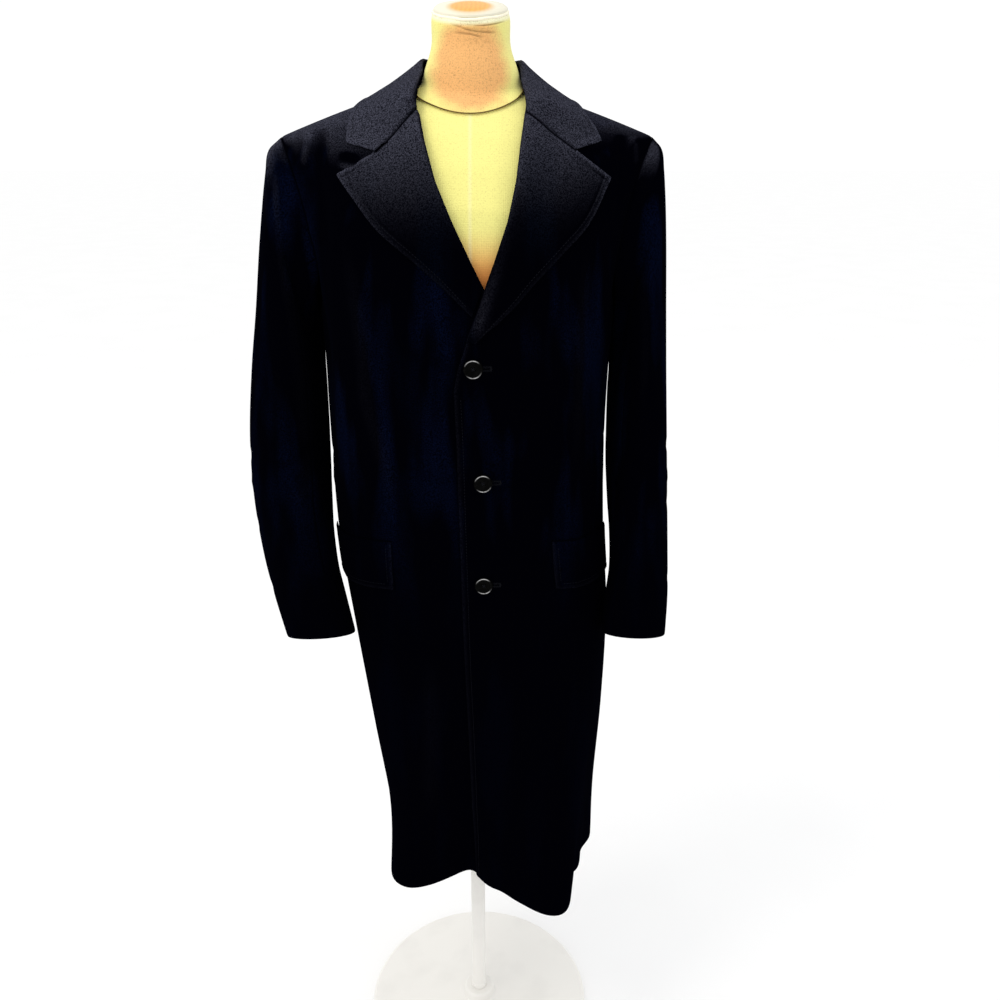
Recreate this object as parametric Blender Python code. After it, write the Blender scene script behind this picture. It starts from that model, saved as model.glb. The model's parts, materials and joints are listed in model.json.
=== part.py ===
"""Long single-breasted overcoat of felted wool, worn by a limbless dress form on a pole stand.

Metres, +Z up. The coat faces -Y and +X is the wearer's left. The origin is the middle of the base
plate's underside, so the part stands on z = 0.

The body of the coat is one surface, read by a turn and a row. The turn is 0 at the centre front,
+90 at the wearer's left side seam and 180 at the centre back. The row is 0 at the hem, 6 at the
armpit and 12 along the shoulder seam. Each panel, flap and lapel and the collar takes its points
from that surface and is a closed wall of its own thickness.
"""

import math

import bmesh
import bpy
import numpy as np
from mathutils import Matrix, Vector


# Cloth and clearances
CLOTH = 0.0028
SLEEVE_CLOTH = 0.0026
GAP = 0.0003
LAP_GAP = 0.0006
LAY = 0.0015
SEAM_LIFT = 0.0005

# Wearer's sides
RIGHT, LEFT = -1, 1


def columns(names, *rows):
    """Turns the rows of a table into one array for each named column."""
    return dict(zip(names, np.array(rows, float).T))


# One row for each level of the body, from the hem to the shoulder seam
BODY = columns(
    ("centre_z", "side_z", "right", "left", "front", "seam", "back", "square"),
    (0.388, 0.386, -0.148, 0.1985, -0.128, 0.010, 0.130, 2.5),
    (0.520, 0.520, -0.150, 0.1980, -0.140, 0.008, 0.132, 2.6),
    (0.680, 0.680, -0.168, 0.2050, -0.146, 0.006, 0.132, 2.8),
    (0.850, 0.850, -0.1885, 0.2060, -0.150, 0.004, 0.130, 2.8),
    (1.000, 1.000, -0.2005, 0.1940, -0.152, 0.002, 0.128, 2.8),
    (1.140, 1.140, -0.202, 0.1895, -0.154, 0.000, 0.128, 2.8),
    (1.270, 1.270, -0.203, 0.1925, -0.157, 0.000, 0.132, 2.7),
    (1.365, 1.360, -0.210, 0.2000, -0.155, 0.000, 0.134, 2.6),
    (1.458, 1.436, -0.226, 0.2180, -0.141, 0.002, 0.126, 2.5),
    (1.528, 1.488, -0.240, 0.2320, -0.110, 0.004, 0.106, 2.5),
    (1.578, 1.518, -0.247, 0.2390, -0.071, 0.005, 0.076, 2.5),
    (1.604, 1.531, -0.249, 0.2410, -0.034, 0.005, 0.042, 2.5),
    (1.612, 1.535, -0.250, 0.2420, 0.005, 0.005, 0.005, 2.5),
)
ARMPIT_ROW, SHOULDER_ROW = 6, 12
SHOULDER_CURVE = 1.25
TIP_TURN, TIP_SINE = 80, 0.985
# Near the shoulder tip front and back share their normal: where this starts, by sine of turn and row
TIP_BLEND = ((0.75, 0.20), (10.5, 1.2))

# One row for each drape fold: where it runs and how far it stands out at four rows
FOLD_ROWS = (0, 1.2, 3, 6)
FOLD_FADE = 0.45
FOLDS = columns(
    ("turn_0", "turn_1", "turn_2", "turn_3", "out_0", "out_1", "out_2", "out_3", "spread", "top_row"),
    (24, 35, 41, 34, 0.071, 0.022, 0.008, 0.005, 21.5, 8.5),
    (-44, -43, -42, -37, 0.031, 0.011, 0.006, 0.005, 27, 8.0),
    (-17, -12, -6, -4, -0.042, -0.018, -0.005, 0.000, 23, 3.6),
    (68, 67, 68, 66, -0.014, -0.007, -0.003, 0.000, 20, 4.5),
    (-76, -72, -68, -66, -0.005, -0.005, -0.003, 0.000, 16, 4.5),
    (118, 120, 124, 126, 0.012, 0.008, 0.004, 0.003, 16, 7.5),
    (150, 148, 146, 144, -0.010, -0.007, -0.004, -0.002, 18, 7.0),
    (-122, -124, -124, -126, 0.010, 0.007, 0.005, 0.003, 16, 7.0),
    (-154, -150, -148, -146, -0.012, -0.008, -0.004, -0.002, 18, 7.5),
    (178, 178, 179, 180, 0.009, 0.006, 0.003, 0.000, 16, 6.0),
)

# Free edge of each front by height: the overlap below the break, the roll line above it
FRONT_EDGES = columns(
    ("height", "right", "left"),
    (0.388, 0.0520, -0.0050),
    (0.850, 0.0500, -0.0120),
    (1.160, 0.0480, -0.0170),
    (1.235, 0.0480, -0.0194),
    (1.262, 0.0480, -0.0142),
    (1.290, 0.0470, -0.0050),
    (1.310, 0.0440, 0.0010),
    (1.335, 0.0340, 0.0108),
    (1.362, 0.0205, 0.0200),
    (1.397, 0.0030, 0.0330),
    (1.443, -0.0190, 0.0490),
    (1.488, -0.0385, 0.0590),
    (1.533, -0.0520, 0.0650),
    (1.563, -0.0590, 0.0700),
    (1.583, -0.0715, 0.0745),
    (1.5935, -0.0856, 0.0776),
)
LEAST_LAP = 0.030
LAP_FADE = (0.054, 0.088)
LAP_TOP = (1.375, 1.450)

# Rows of the panels, and how far each armhole edge lies from the side seam
LOWER_ROWS = (0, 0.4, 0.9, 1.4, 2.0, 2.6, 3.2, 3.8, 4.4, 5.0, 5.5, 5.77)
ARMHOLE = columns(
    ("row", "front_cut", "back_cut"),
    (6.00, 0.0, 0.0),
    (6.12, 4.5, 4.0),
    (6.30, 10.5, 9.5),
    (6.55, 18.0, 16.0),
    (6.90, 24.5, 21.5),
    (7.35, 28.0, 24.5),
    (7.80, 29.0, 25.5),
    (8.25, 29.0, 26.0),
    (8.75, 27.8, 25.2),
    (9.35, 25.2, 23.2),
    (9.90, 21.5, 20.0),
    (10.20, 19.5, 18.0),
    (10.45, 17.8, 16.6),
    (10.75, 15.6, 14.8),
    (11.20, 13.0, 12.6),
    (12.00, 14.0, 14.0),
)
PANEL_ROWS = np.array(LOWER_ROWS + tuple(ARMHOLE["row"]))

# Back neckline: turn away from the centre back by row
BACK_NECK = columns(
    ("row", "turn"),
    (10.20, 0.0),
    (10.45, 8.5),
    (10.75, 13.0),
    (11.20, 16.2),
    (12.00, 18.8),
)

# Columns of a front between its edge, the end of the overlap, its main fold and its side
LAP_STEPS, CHEST_STEPS, SIDE_STEPS = 2, 4, 6
BACK_STEPS = 11

# One row for each ring of a sleeve: its outer and inner point, fore-aft middle, half depth and turn
SLEEVE_COLUMNS = ("outer", "outer_z", "inner", "inner_z", "fore", "depth", "tilt", "twist")
RIGHT_SLEEVE = columns(
    SLEEVE_COLUMNS,
    (0.2605, 1.5215, 0.2095, 1.2620, -0.006, 0.0720, 0, 0),
    (0.2655, 1.5000, 0.2100, 1.2450, -0.007, 0.0765, 1, 0),
    (0.2735, 1.4560, 0.2100, 1.2220, -0.009, 0.0790, 2, -2),
    (0.2815, 1.4040, 0.2090, 1.1900, -0.013, 0.0780, 4, -4),
    (0.2920, 1.3230, 0.2075, 1.1450, -0.021, 0.0730, 7, -7),
    (0.3040, 1.2380, 0.2065, 1.0960, -0.032, 0.0690, 9, -10),
    (0.3125, 1.1450, 0.2055, 1.0420, -0.046, 0.0660, 12, -13),
    (0.3120, 1.0600, 0.2035, 0.9960, -0.060, 0.0630, 15, -16),
    (0.3025, 0.9780, 0.1970, 0.9500, -0.077, 0.0590, 18, -18),
    (0.2890, 0.9140, 0.1860, 0.9080, -0.092, 0.0550, 20, -20),
    (0.2725, 0.8510, 0.1735, 0.8560, -0.106, 0.0510, 20, -22),
)
LEFT_SLEEVE = columns(
    SLEEVE_COLUMNS,
    (0.2495, 1.5220, 0.1955, 1.2620, -0.006, 0.0720, 0, 0),
    (0.2535, 1.5000, 0.1955, 1.2450, -0.007, 0.0765, 1, 0),
    (0.2580, 1.4560, 0.1950, 1.2220, -0.009, 0.0795, 2, -2),
    (0.2615, 1.4040, 0.1935, 1.1900, -0.013, 0.0800, 4, -4),
    (0.2655, 1.3230, 0.1930, 1.1450, -0.021, 0.0780, 7, -7),
    (0.2695, 1.2380, 0.1930, 1.0960, -0.032, 0.0765, 9, -10),
    (0.2740, 1.1450, 0.1960, 1.0420, -0.046, 0.0740, 12, -13),
    (0.2780, 1.0600, 0.1995, 0.9960, -0.060, 0.0700, 15, -16),
    (0.2815, 0.9780, 0.1995, 0.9500, -0.077, 0.0640, 18, -18),
    (0.2835, 0.9140, 0.1935, 0.9050, -0.092, 0.0580, 20, -20),
    (0.2815, 0.8540, 0.1900, 0.8560, -0.106, 0.0530, 20, -22),
)
SLEEVES = {RIGHT: RIGHT_SLEEVE, LEFT: LEFT_SLEEVE}
SLEEVE_POINTS = 2 * (len(ARMHOLE["row"]) - 1)
SLEEVE_FRONT_SEAM, SLEEVE_BACK_SEAM = 5, 24
SLEEVE_EVENING_RINGS = 4
SLEEVE_HEAD_BLEND = 0.35

# Lapels: free edge from the break to the tip, then the notch where the collar starts
LAPEL_EDGES = {
    RIGHT: ((0.0040, 1.3310), (-0.0300, 1.3640), (-0.0650, 1.3945), (-0.1090, 1.4300),
            (-0.1400, 1.4670), (-0.1605, 1.4920)),
    LEFT: ((0.0100, 1.2975), (0.0200, 1.3075), (0.0580, 1.3430), (0.0855, 1.3730),
           (0.1170, 1.4045), (0.1490, 1.4380), (0.1760, 1.4880)),
}
LAPEL_NOTCH = {RIGHT: (-0.1080, 1.5190), LEFT: (0.1290, 1.5210)}
LAPEL_ROWS = {
    RIGHT: np.array([7.02, 7.35, 7.80, 8.25, 8.75, 9.35, 9.90]),
    LEFT: np.array([6.30, 6.55, 6.90, 7.35, 7.80, 8.25, 8.75, 9.35, 9.90]),
}
NOTCH_SHARE, NOTCH_RISE = 0.55, 5
ROLL_HEIGHT = (0.0050, 0.0080)
ROLL_COLUMNS = columns(("inset", "rise"), (0.0008, 0.0), (0.0003, 0.50), (0.0026, 0.92), (0.0080, 1.0))
GORGE_SHARES = np.array([0.25, 0.60, 1.0])
FREE_SHARES = np.array([0.5, 1.0])
SETTLE_LENGTH = 0.050
# Largest share of the way to the notch that the roll takes, and of the lapel that its settling takes
ROLL_SHARE, SETTLE_SHARE = 0.45, 0.8

# Collar, a half from the gorge round past the centre back. Rows past 12 run down the back, and the
# first row moves onto the end of the gorge
COLLAR = columns(
    ("neck_row", "fold_x", "fold_y", "fold_z", "edge_turn", "edge_row"),
    (9.90, 0.0590, -0.0640, 1.5690, 35.3, 9.6),
    (10.75, 0.0625, -0.0330, 1.5980, 34.5, 10.7),
    (12.00, 0.0600, 0.0080, 1.6220, 32.0, 12.0),
    (13.25, 0.0460, 0.0490, 1.6245, 29.0, 13.6),
    (13.80, 0.0000, 0.0700, 1.6240, 0.0, 14.8),
    (14.35, -0.0460, 0.0490, 1.6245, -29.0, 13.6),
)
COLLAR_SHIFT = 0.0025
COLLAR_TURN_SHIFT = 1.1
COLLAR_LIFT = 0.0009
COLLAR_CORNER = {RIGHT: (-0.1500, 1.5300), LEFT: (0.1655, 1.5315)}
COLLAR_ROWS = (9.90, 10.20, 10.45, 10.75, 11.20, 12.00, 12.80, 13.25, 13.55, 13.80)
COLLAR_AIR = 0.0026
SAMPLE_TURN, SAMPLE_ROW = 3.0, 0.1
STAND_HEIGHT = 0.034
LEAST_STAND = 0.0088
COLLAR_FOLD = columns(("out", "up"), (0.0, -0.0022), (0.0070, 0.0004))
COLLAR_SHARES = np.array([0.16, 0.36, 0.58, 0.80, 1.0])
# How the fall leaves the fold and meets the coat, as shares of its length
FALL_DROP = 0.42
FALL_OUT = 0.35
FALL_START, FALL_END = 0.27, 0.36

# Pocket flaps, on the side panel behind the main front fold
FLAP_CLOTH = 0.0026
FLAP_LAY = (0.0009, 0.0018)
FLAP_COLUMNS = (4.8, 5, 6, 7, 8, 9, 9.8)
FLAP_TOP = (1.0215, 1.0090)
FLAP_DROP = 0.074
FLAP_STEPS = 3

# Front buttons and cuff buttons
BUTTON_SPOTS = ((0.0055, 1.2650), (0.0170, 1.1100), (0.0170, 0.9580))
BUTTON_PROFILE = columns(
    ("radius", "height"),
    (0.0112, 0.0000), (0.0125, 0.0012), (0.0125, 0.0028), (0.0116, 0.0038), (0.0102, 0.0038),
    (0.0088, 0.0026), (0.0050, 0.0023),
)
BUTTON_HOLE_RADIUS, BUTTON_HOLE_SPREAD = 0.0011, 0.0021
BUTTON_SEGMENTS, HOLE_SEGMENTS, CUFF_BUTTON_SEGMENTS = 24, 8, 16
CUFF_BUTTON_PROFILE = columns(
    ("radius", "height"),
    (0.0068, 0.0000), (0.0075, 0.0010), (0.0073, 0.0026), (0.0060, 0.0030), (0.0050, 0.0020),
)
CUFF_BUTTON_SHARES = (0.16, 0.50, 0.84)
CUFF_BUTTON_RING = 8
BUTTON_SEAT = 0.0005

# Dress form: rows of the body surface, how far inside it lies and how much narrower it is
FORM = columns(
    ("row", "ease", "tuck"),
    (2.70, 0.030, 0.000),
    (3.30, 0.032, 0.000),
    (4.00, 0.040, 0.000),
    (4.70, 0.036, 0.000),
    (5.40, 0.024, 0.000),
    (6.00, 0.017, 0.000),
    (6.60, 0.012, 0.004),
    (7.30, 0.010, 0.012),
    (8.00, 0.009, 0.020),
    (8.70, 0.0085, 0.026),
    (9.30, 0.0073, 0.029),
    (9.90, 0.0057, 0.032),
    (10.50, 0.0041, 0.034),
    (11.20, 0.0035, 0.036),
)
FORM_BOTTOM_Z = 0.800
FORM_POINTS = 32
NECK = columns(
    ("middle_z", "half_width", "half_depth", "fore", "tilt"),
    (1.540, 0.0690, 0.0560, 0.000, 20),
    (1.590, 0.0640, 0.0530, -0.003, 25),
    (1.604, 0.0603, 0.0515, -0.004, 22),
    (1.626, 0.0560, 0.0500, -0.005, 19),
    (1.655, 0.0515, 0.0485, -0.006, 16),
    (1.681, 0.0475, 0.0475, -0.006, 15),
)
NECK_X = 0.003
NECK_POINTS = 28
CAP_PROFILE = columns(
    ("radius", "height"),
    (0.0455, 0.0000), (0.0465, 0.0012), (0.0460, 0.0036), (0.0430, 0.0058), (0.0300, 0.0082), (0.0140, 0.0094),
)

# Stand
POLE_RADIUS = 0.0125
BASE_PROFILE = columns(
    ("radius", "height"),
    (0.1975, 0.0000), (0.2000, 0.0020), (0.2000, 0.0075), (0.1960, 0.0105), (0.0400, 0.0140),
    (0.0300, 0.0180), (0.0270, 0.0300), (0.0240, 0.0320),
)
POLE_SEGMENTS, BASE_SEGMENTS = 20, 56


# Materials
def finish(name, hex_colour, roughness, metallic=0.0):
    """A plain surface from an sRGB hex colour."""
    levels = [int(hex_colour[i:i + 2], 16) / 255 for i in (1, 3, 5)]
    linear = [v / 12.92 if v <= 0.04045 else ((v + 0.055) / 1.055) ** 2.4 for v in levels]
    material = bpy.data.materials.new(name)
    material.use_nodes = True
    shader = material.node_tree.nodes["Principled BSDF"]
    shader.inputs["Base Color"].default_value = (*linear, 1.0)
    shader.inputs["Roughness"].default_value = roughness
    shader.inputs["Metallic"].default_value = metallic
    return material


# The surface of the coat's body
def smooth(column, row):
    """Catmull-Rom value of a table column at a fractional row."""
    row = np.clip(np.asarray(row, float), 0, len(column) - 1)
    low = np.minimum(row.astype(int), len(column) - 2)
    share = row - low
    last = len(column) - 1
    start, end = column[low], column[low + 1]
    before = np.where(low > 0, column[np.maximum(low - 1, 0)], 2 * column[0] - column[1])
    after = np.where(low < last - 1, column[np.minimum(low + 2, last)], 2 * column[-1] - column[-2])
    square = 2 * before - 5 * start + 4 * end - after
    cube = 3 * start - before - 3 * end + after
    return 0.5 * (2 * start + (end - before) * share + square * share**2 + cube * share**3)


def ease_in(share):
    """Smooth step from 0 to 1."""
    share = np.clip(share, 0, 1)
    return share * share * (3 - 2 * share)


def unit(vectors):
    """Vectors along the last axis at length one."""
    length = np.linalg.norm(vectors, axis=-1, keepdims=True)
    return vectors / np.maximum(length, 1e-12)


def fold_height(turn, row):
    """How far the drape folds stand out of the plain section."""
    height = np.zeros(np.broadcast(turn, row).shape)
    for i in range(len(FOLDS["spread"])):
        turns = [FOLDS[f"turn_{k}"][i] for k in range(len(FOLD_ROWS))]
        outs = [FOLDS[f"out_{k}"][i] for k in range(len(FOLD_ROWS))]
        away = (turn - np.interp(row, FOLD_ROWS, turns) + 180) % 360 - 180
        across = np.cos(np.clip(away / FOLDS["spread"][i], -1, 1) * math.pi / 2) ** 2
        up = ease_in((FOLDS["top_row"][i] - row) / (FOLD_FADE * FOLDS["top_row"][i]))
        height = height + np.interp(row, FOLD_ROWS, outs) * across * up
    return height


def coat_point(turn, row, folds=True, tuck=0.0):
    """Point of the body surface at a turn in degrees and a row."""
    turn, row = np.broadcast_arrays(np.asarray(turn, float), np.asarray(row, float))
    centre_z, side_z, right, left, front, seam, back, square = (smooth(BODY[name], row) for name in BODY)
    middle, half = (left + right) / 2, (left - right) / 2
    sine, cosine = np.sin(np.radians(turn)), np.cos(np.radians(turn))
    reach = (abs(sine) ** square + abs(cosine) ** square) ** (1 / square)
    x = middle + (half - tuck) * sine / reach
    y = seam + np.where(cosine > 0, front - seam, seam - back) * cosine / reach
    z = centre_z + (side_z - centre_z) * np.abs((x - middle) / half) ** SHOULDER_CURVE
    if folds:
        away = unit(np.stack([x - middle, y - seam], axis=-1))
        out = fold_height(turn, row)
        x = x + out * away[..., 0]
        y = y + out * away[..., 1]
    return np.stack([x, y, z], axis=-1)


def coat_normal(turn, row, folds=True, tuck=0.0):
    """Outward normal of the body surface. Along the shoulder seam, front and back share one."""
    turn, row = np.broadcast_arrays(np.asarray(turn, float), np.asarray(row, float))
    turn_step, row_step = 0.5, 0.02
    at_tip = (row > SHOULDER_ROW - row_step) & (abs(np.sin(np.radians(turn))) > TIP_SINE)
    turn = np.where(at_tip, np.sign(turn) * TIP_TURN, turn)

    def one_side(at):
        along = coat_point(at + turn_step, row, folds, tuck) - coat_point(at - turn_step, row, folds, tuck)
        low = coat_point(at, np.maximum(row - row_step, 0), folds, tuck)
        high = coat_point(at, np.minimum(row + row_step, SHOULDER_ROW), folds, tuck)
        return unit(np.cross(along, high - low))

    normal = one_side(turn)
    over_seam = unit(normal + one_side(180 - turn))
    (first_sine, sine_span), (first_row, row_span) = TIP_BLEND
    near_tip = ease_in((abs(np.sin(np.radians(turn))) - first_sine) / sine_span)
    near_tip = near_tip * ease_in((row - first_row) / row_span)
    share = np.where(row > SHOULDER_ROW - row_step / 2, 1, near_tip)[..., None]
    return unit(normal + (over_seam - normal) * share)


def turn_at(x, row):
    """Turn in front at which a row passes x."""
    right, left, square = (smooth(BODY[name], row) for name in ("right", "left", "square"))
    across = np.clip((x - (left + right) / 2) / ((left - right) / 2), -0.999, 0.999)
    fore = (1 - abs(across) ** square) ** (1 / square)
    return np.degrees(np.arctan2(across, fore))


def front_spot(x, z):
    """Turn and row of the point of the front with this x and z."""
    x, z = np.broadcast_arrays(np.asarray(x, float), np.asarray(z, float))
    low, high = np.zeros(x.shape), np.full(x.shape, float(SHOULDER_ROW))
    for _ in range(30):
        row = (low + high) / 2
        above = coat_point(turn_at(x, row), row)[..., 2] > z
        low, high = np.where(above, low, row), np.where(above, row, high)
    return turn_at(x, row), row


def front_edge_x(side, row):
    """X of a front's free edge at a row."""
    name = "right" if side == RIGHT else "left"
    height = smooth(BODY["centre_z"], row)
    for _ in range(5):
        x = np.interp(height, FRONT_EDGES["height"], FRONT_EDGES[name])
        height = coat_point(turn_at(x, row), row)[..., 2]
    return x


def lap_lift(x, z):
    """How far the left front lies out over the right front."""
    beside = 1 - ease_in((x - LAP_FADE[0]) / (LAP_FADE[1] - LAP_FADE[0]))
    below = 1 - ease_in((z - LAP_TOP[0]) / (LAP_TOP[1] - LAP_TOP[0]))
    return (CLOTH + LAP_GAP) * beside * below


def front_skin(side, turn, row):
    """Outer point and normal of a front panel."""
    point, normal = coat_point(turn, row), coat_normal(turn, row)
    if side == LEFT:
        point = point + normal * lap_lift(point[..., 0], point[..., 2])[..., None]
    return point, normal


# Walls
def add_object(name, bm, material, smooth_angle=40):
    """Makes a bmesh into an object with outward faces."""
    bmesh.ops.recalc_face_normals(bm, faces=bm.faces)
    mesh = bpy.data.meshes.new(name)
    bm.to_mesh(mesh)
    bm.free()
    mesh.shade_smooth()
    mesh.set_sharp_from_angle(angle=math.radians(smooth_angle))
    mesh.materials.append(material)
    obj = bpy.data.objects.new(name, mesh)
    bpy.context.scene.collection.objects.link(obj)
    return obj


def add_wall(name, outer, inner, material):
    """Closed wall between two grids of points. Its rim is split alike on both sides of a seam."""
    rows, across = outer.shape[:2]
    bm = bmesh.new()
    skins = [[[bm.verts.new(p) for p in line] for line in grid] for grid in (outer, inner)]
    for skin, flip in zip(skins, (False, True)):
        for r in range(rows - 1):
            for c in range(across - 1):
                face = [skin[r][c], skin[r][c + 1], skin[r + 1][c + 1], skin[r + 1][c]]
                bm.faces.new(face[::-1] if flip else face)
    border = [(0, c) for c in range(across)]
    border += [(r, across - 1) for r in range(1, rows)]
    border += [(rows - 1, c) for c in range(across - 2, -1, -1)]
    border += [(r, 0) for r in range(rows - 2, 0, -1)]
    for (r, c), (s, d) in zip(border, border[1:] + border[:1]):
        rim = [skins[0][s][d], skins[0][r][c], skins[1][r][c], skins[1][s][d]]
        rising = rim[1].co.z < rim[0].co.z
        for corners in ((0, 1, 3), (1, 2, 3)) if rising else ((0, 1, 2), (0, 2, 3)):
            bm.faces.new([rim[k] for k in corners])
    return add_object(name, bm, material)


def part_edge(grid, edge, distance=GAP / 2):
    """Draws one border of a grid in, to leave the seam gap."""
    pairs = {"left": (grid[:, 0], grid[:, 1]), "right": (grid[:, -1], grid[:, -2]),
             "bottom": (grid[0], grid[1]), "top": (grid[-1], grid[-2])}
    border, inside = pairs[edge]
    border += unit(inside - border) * distance


def grid_normals(grid, side):
    """Normals of a grid, each the mean of those of the faces round it."""
    across, up = grid[:, 1:] - grid[:, :-1], grid[1:] - grid[:-1]
    faces = side * unit(np.cross(across[:-1] + across[1:], up[:, :-1] + up[:, 1:]))
    total = np.zeros(grid.shape)
    for down in (0, 1):
        for over in (0, 1):
            total[down:grid.shape[0] - 1 + down, over:grid.shape[1] - 1 + over] += faces
    return unit(total)


def armhole_turn(side, face, rows):
    """Turn of the armhole edge, or of the side seam below it."""
    cut = np.interp(rows, ARMHOLE["row"], ARMHOLE[f"{face}_cut"])
    return side * (90 - cut) if face == "front" else side * (90 + cut)


def armhole_loop(side):
    """Armhole edge up the front and down the back, with the coat's normals and the way out of the panel."""
    rows = np.concatenate([ARMHOLE["row"], ARMHOLE["row"][-2:0:-1]])
    top = len(ARMHOLE["row"])
    front = armhole_turn(side, "front", ARMHOLE["row"])
    turn = np.concatenate([front, armhole_turn(side, "back", ARMHOLE["row"])[-2:0:-1]])
    point, normal = coat_point(turn, rows), coat_normal(turn, rows)
    tangent = np.roll(point, -1, axis=0) - np.roll(point, 1, axis=0)
    return point, normal, side * unit(np.cross(tangent, normal)), top


def open_armhole(grids, side, face):
    """Draws a panel's armhole border in from the sleeve."""
    _, _, out, top = armhole_loop(side)
    way = out[:top] if face == "front" else np.concatenate([out[:1], out[:top - 2:-1]])
    for grid in grids:
        grid[-top:, -1] -= way * GAP / 2


def spread_columns(anchors, steps):
    """Columns between anchor lines, the same number in each stretch for every row."""
    parts = [a[:, None] + (b - a)[:, None] * np.arange(n) / n for a, b, n in zip(anchors, anchors[1:], steps)]
    return np.concatenate(parts + [anchors[-1][:, None]], axis=1)


def front_grid(side):
    """Points and normals of a front, between its free edge, side seam and armhole."""
    rows = PANEL_ROWS
    edge = front_edge_x(side, rows)
    lap_end = np.maximum(side * front_edge_x(-side, rows), side * edge + LEAST_LAP) * side
    ridge = 0 if side == LEFT else 1
    ridge_turns = [FOLDS[f"turn_{k}"][ridge] for k in range(len(FOLD_ROWS))]
    anchors = [turn_at(edge, rows), turn_at(lap_end, rows), np.interp(rows, FOLD_ROWS, ridge_turns),
               armhole_turn(side, "front", rows)]
    turn = spread_columns(anchors, (LAP_STEPS, CHEST_STEPS, SIDE_STEPS))
    return front_skin(side, turn, rows[:, None] + 0 * turn)


def add_front(side, material):
    """Front panel from the hem to the shoulder."""
    point, normal = front_grid(side)
    grids = [point, point - CLOTH * normal]
    for grid in grids:
        part_edge(grid[:len(LOWER_ROWS) + 1], "right")
        part_edge(grid, "top")
    open_armhole(grids, side, "front")
    return add_wall(f"front_{'left' if side == LEFT else 'right'}", *grids, material)


def add_back(side, material):
    """Back panel from the hem to the shoulder, between the centre back and the side seam."""
    rows = PANEL_ROWS
    neck = np.interp(rows, BACK_NECK["row"], BACK_NECK["turn"])
    anchors = [side * (180 - neck), armhole_turn(side, "back", rows)]
    turn = spread_columns(anchors, (BACK_STEPS,))
    row = rows[:, None] + 0 * turn
    point, normal = coat_point(turn, row), coat_normal(turn, row)
    grids = [point, point - CLOTH * normal]
    for grid in grids:
        part_edge(grid[:len(LOWER_ROWS) + 1], "right")
        part_edge(grid, "left")
        part_edge(grid, "top")
    open_armhole(grids, side, "back")
    return add_wall(f"back_{'left' if side == LEFT else 'right'}", *grids, material)


# Sleeves
def sleeve_grid(side):
    """Rings of a sleeve from the armhole to the cuff, with the normals of its wall."""
    table = SLEEVES[side]
    loop, coat_out, way_out, _ = armhole_loop(side)
    count = SLEEVE_POINTS
    height = loop[:, 2]
    middle_z, half_z = (height.max() + height.min()) / 2, (height.max() - height.min()) / 2
    depth = (loop[:, 1].max() - loop[:, 1].min()) / 2
    middle_y = (loop[:, 1].max() + loop[:, 1].min()) / 2
    loop_angle = np.arctan2(-(loop[:, 1] - middle_y) / depth, -(height - middle_z) / half_z) % (2 * math.pi)
    even_angle = np.arange(count) * 2 * math.pi / count
    loop_angle = np.where(even_angle - loop_angle > math.pi, loop_angle + 2 * math.pi, loop_angle)
    loop_angle = np.where(loop_angle - even_angle > math.pi, loop_angle - 2 * math.pi, loop_angle)
    rings = [loop]
    for i in range(len(table["outer"])):
        ring = {name: table[name][i] for name in SLEEVE_COLUMNS}
        share = min((i + 1) / SLEEVE_EVENING_RINGS, 1)
        angle = loop_angle + (even_angle - loop_angle) * share + math.radians(ring["twist"])
        outer = np.array([side * ring["outer"], ring["fore"], ring["outer_z"]])
        inner = np.array([side * ring["inner"], ring["fore"], ring["inner_z"]])
        lean = math.radians(ring["tilt"])
        forward = ring["depth"] * np.array([0, -math.cos(lean), math.sin(lean)])
        centre, across = (outer + inner) / 2, (outer - inner) / 2
        rings.append(centre - np.cos(angle)[:, None] * across + np.sin(angle)[:, None] * forward)
    grid = np.array(rings)
    closed = np.concatenate([grid[:, -1:], grid, grid[:, :1]], axis=1)
    normal = grid_normals(closed, -side)[:, 1:-1]
    across_seam = np.maximum((normal[0] * way_out).sum(axis=1), 0)[:, None]
    beside = unit(normal[0] - across_seam * way_out)
    share = ease_in((beside * coat_out).sum(axis=1)[:, None] / SLEEVE_HEAD_BLEND)
    normal[0] = unit(beside + (coat_out - beside) * share)
    grid[0] += way_out * GAP / 2
    return grid, normal


def sleeve_part(side, first, last):
    """Outer and inner grids of one sleeve piece between two seams."""
    grid, normal = sleeve_grid(side)
    picks = np.arange(first, last + 1) % SLEEVE_POINTS
    outer, normal = grid[:, picks], normal[:, picks]
    grids = [outer.copy(), outer - SLEEVE_CLOTH * normal]
    for part in grids:
        part_edge(part, "left")
        part_edge(part, "right")
    return grids


def add_sleeve(side, material):
    """Top sleeve and under sleeve, split at the front and back seams."""
    name = "left" if side == LEFT else "right"
    top = sleeve_part(side, SLEEVE_FRONT_SEAM, SLEEVE_BACK_SEAM)
    under = sleeve_part(side, SLEEVE_BACK_SEAM, SLEEVE_FRONT_SEAM + SLEEVE_POINTS)
    add_wall(f"top_sleeve_{name}", *top, material)
    add_wall(f"under_sleeve_{name}", *under, material)


# Lapels and collar
def along_line(points, shares):
    """Points at shares of the length of a line."""
    points = np.asarray(points, float)
    length = np.concatenate([[0], np.cumsum(np.linalg.norm(np.diff(points, axis=0), axis=1))])
    at = np.asarray(shares) * length[-1]
    return np.stack([np.interp(at, length, points[:, k]) for k in range(points.shape[1])], axis=-1)


def roll_spot(side, row):
    """X and z of a front's edge at a row."""
    x = front_edge_x(side, row)
    return np.array([x, coat_point(turn_at(x, row), row)[2]])


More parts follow.
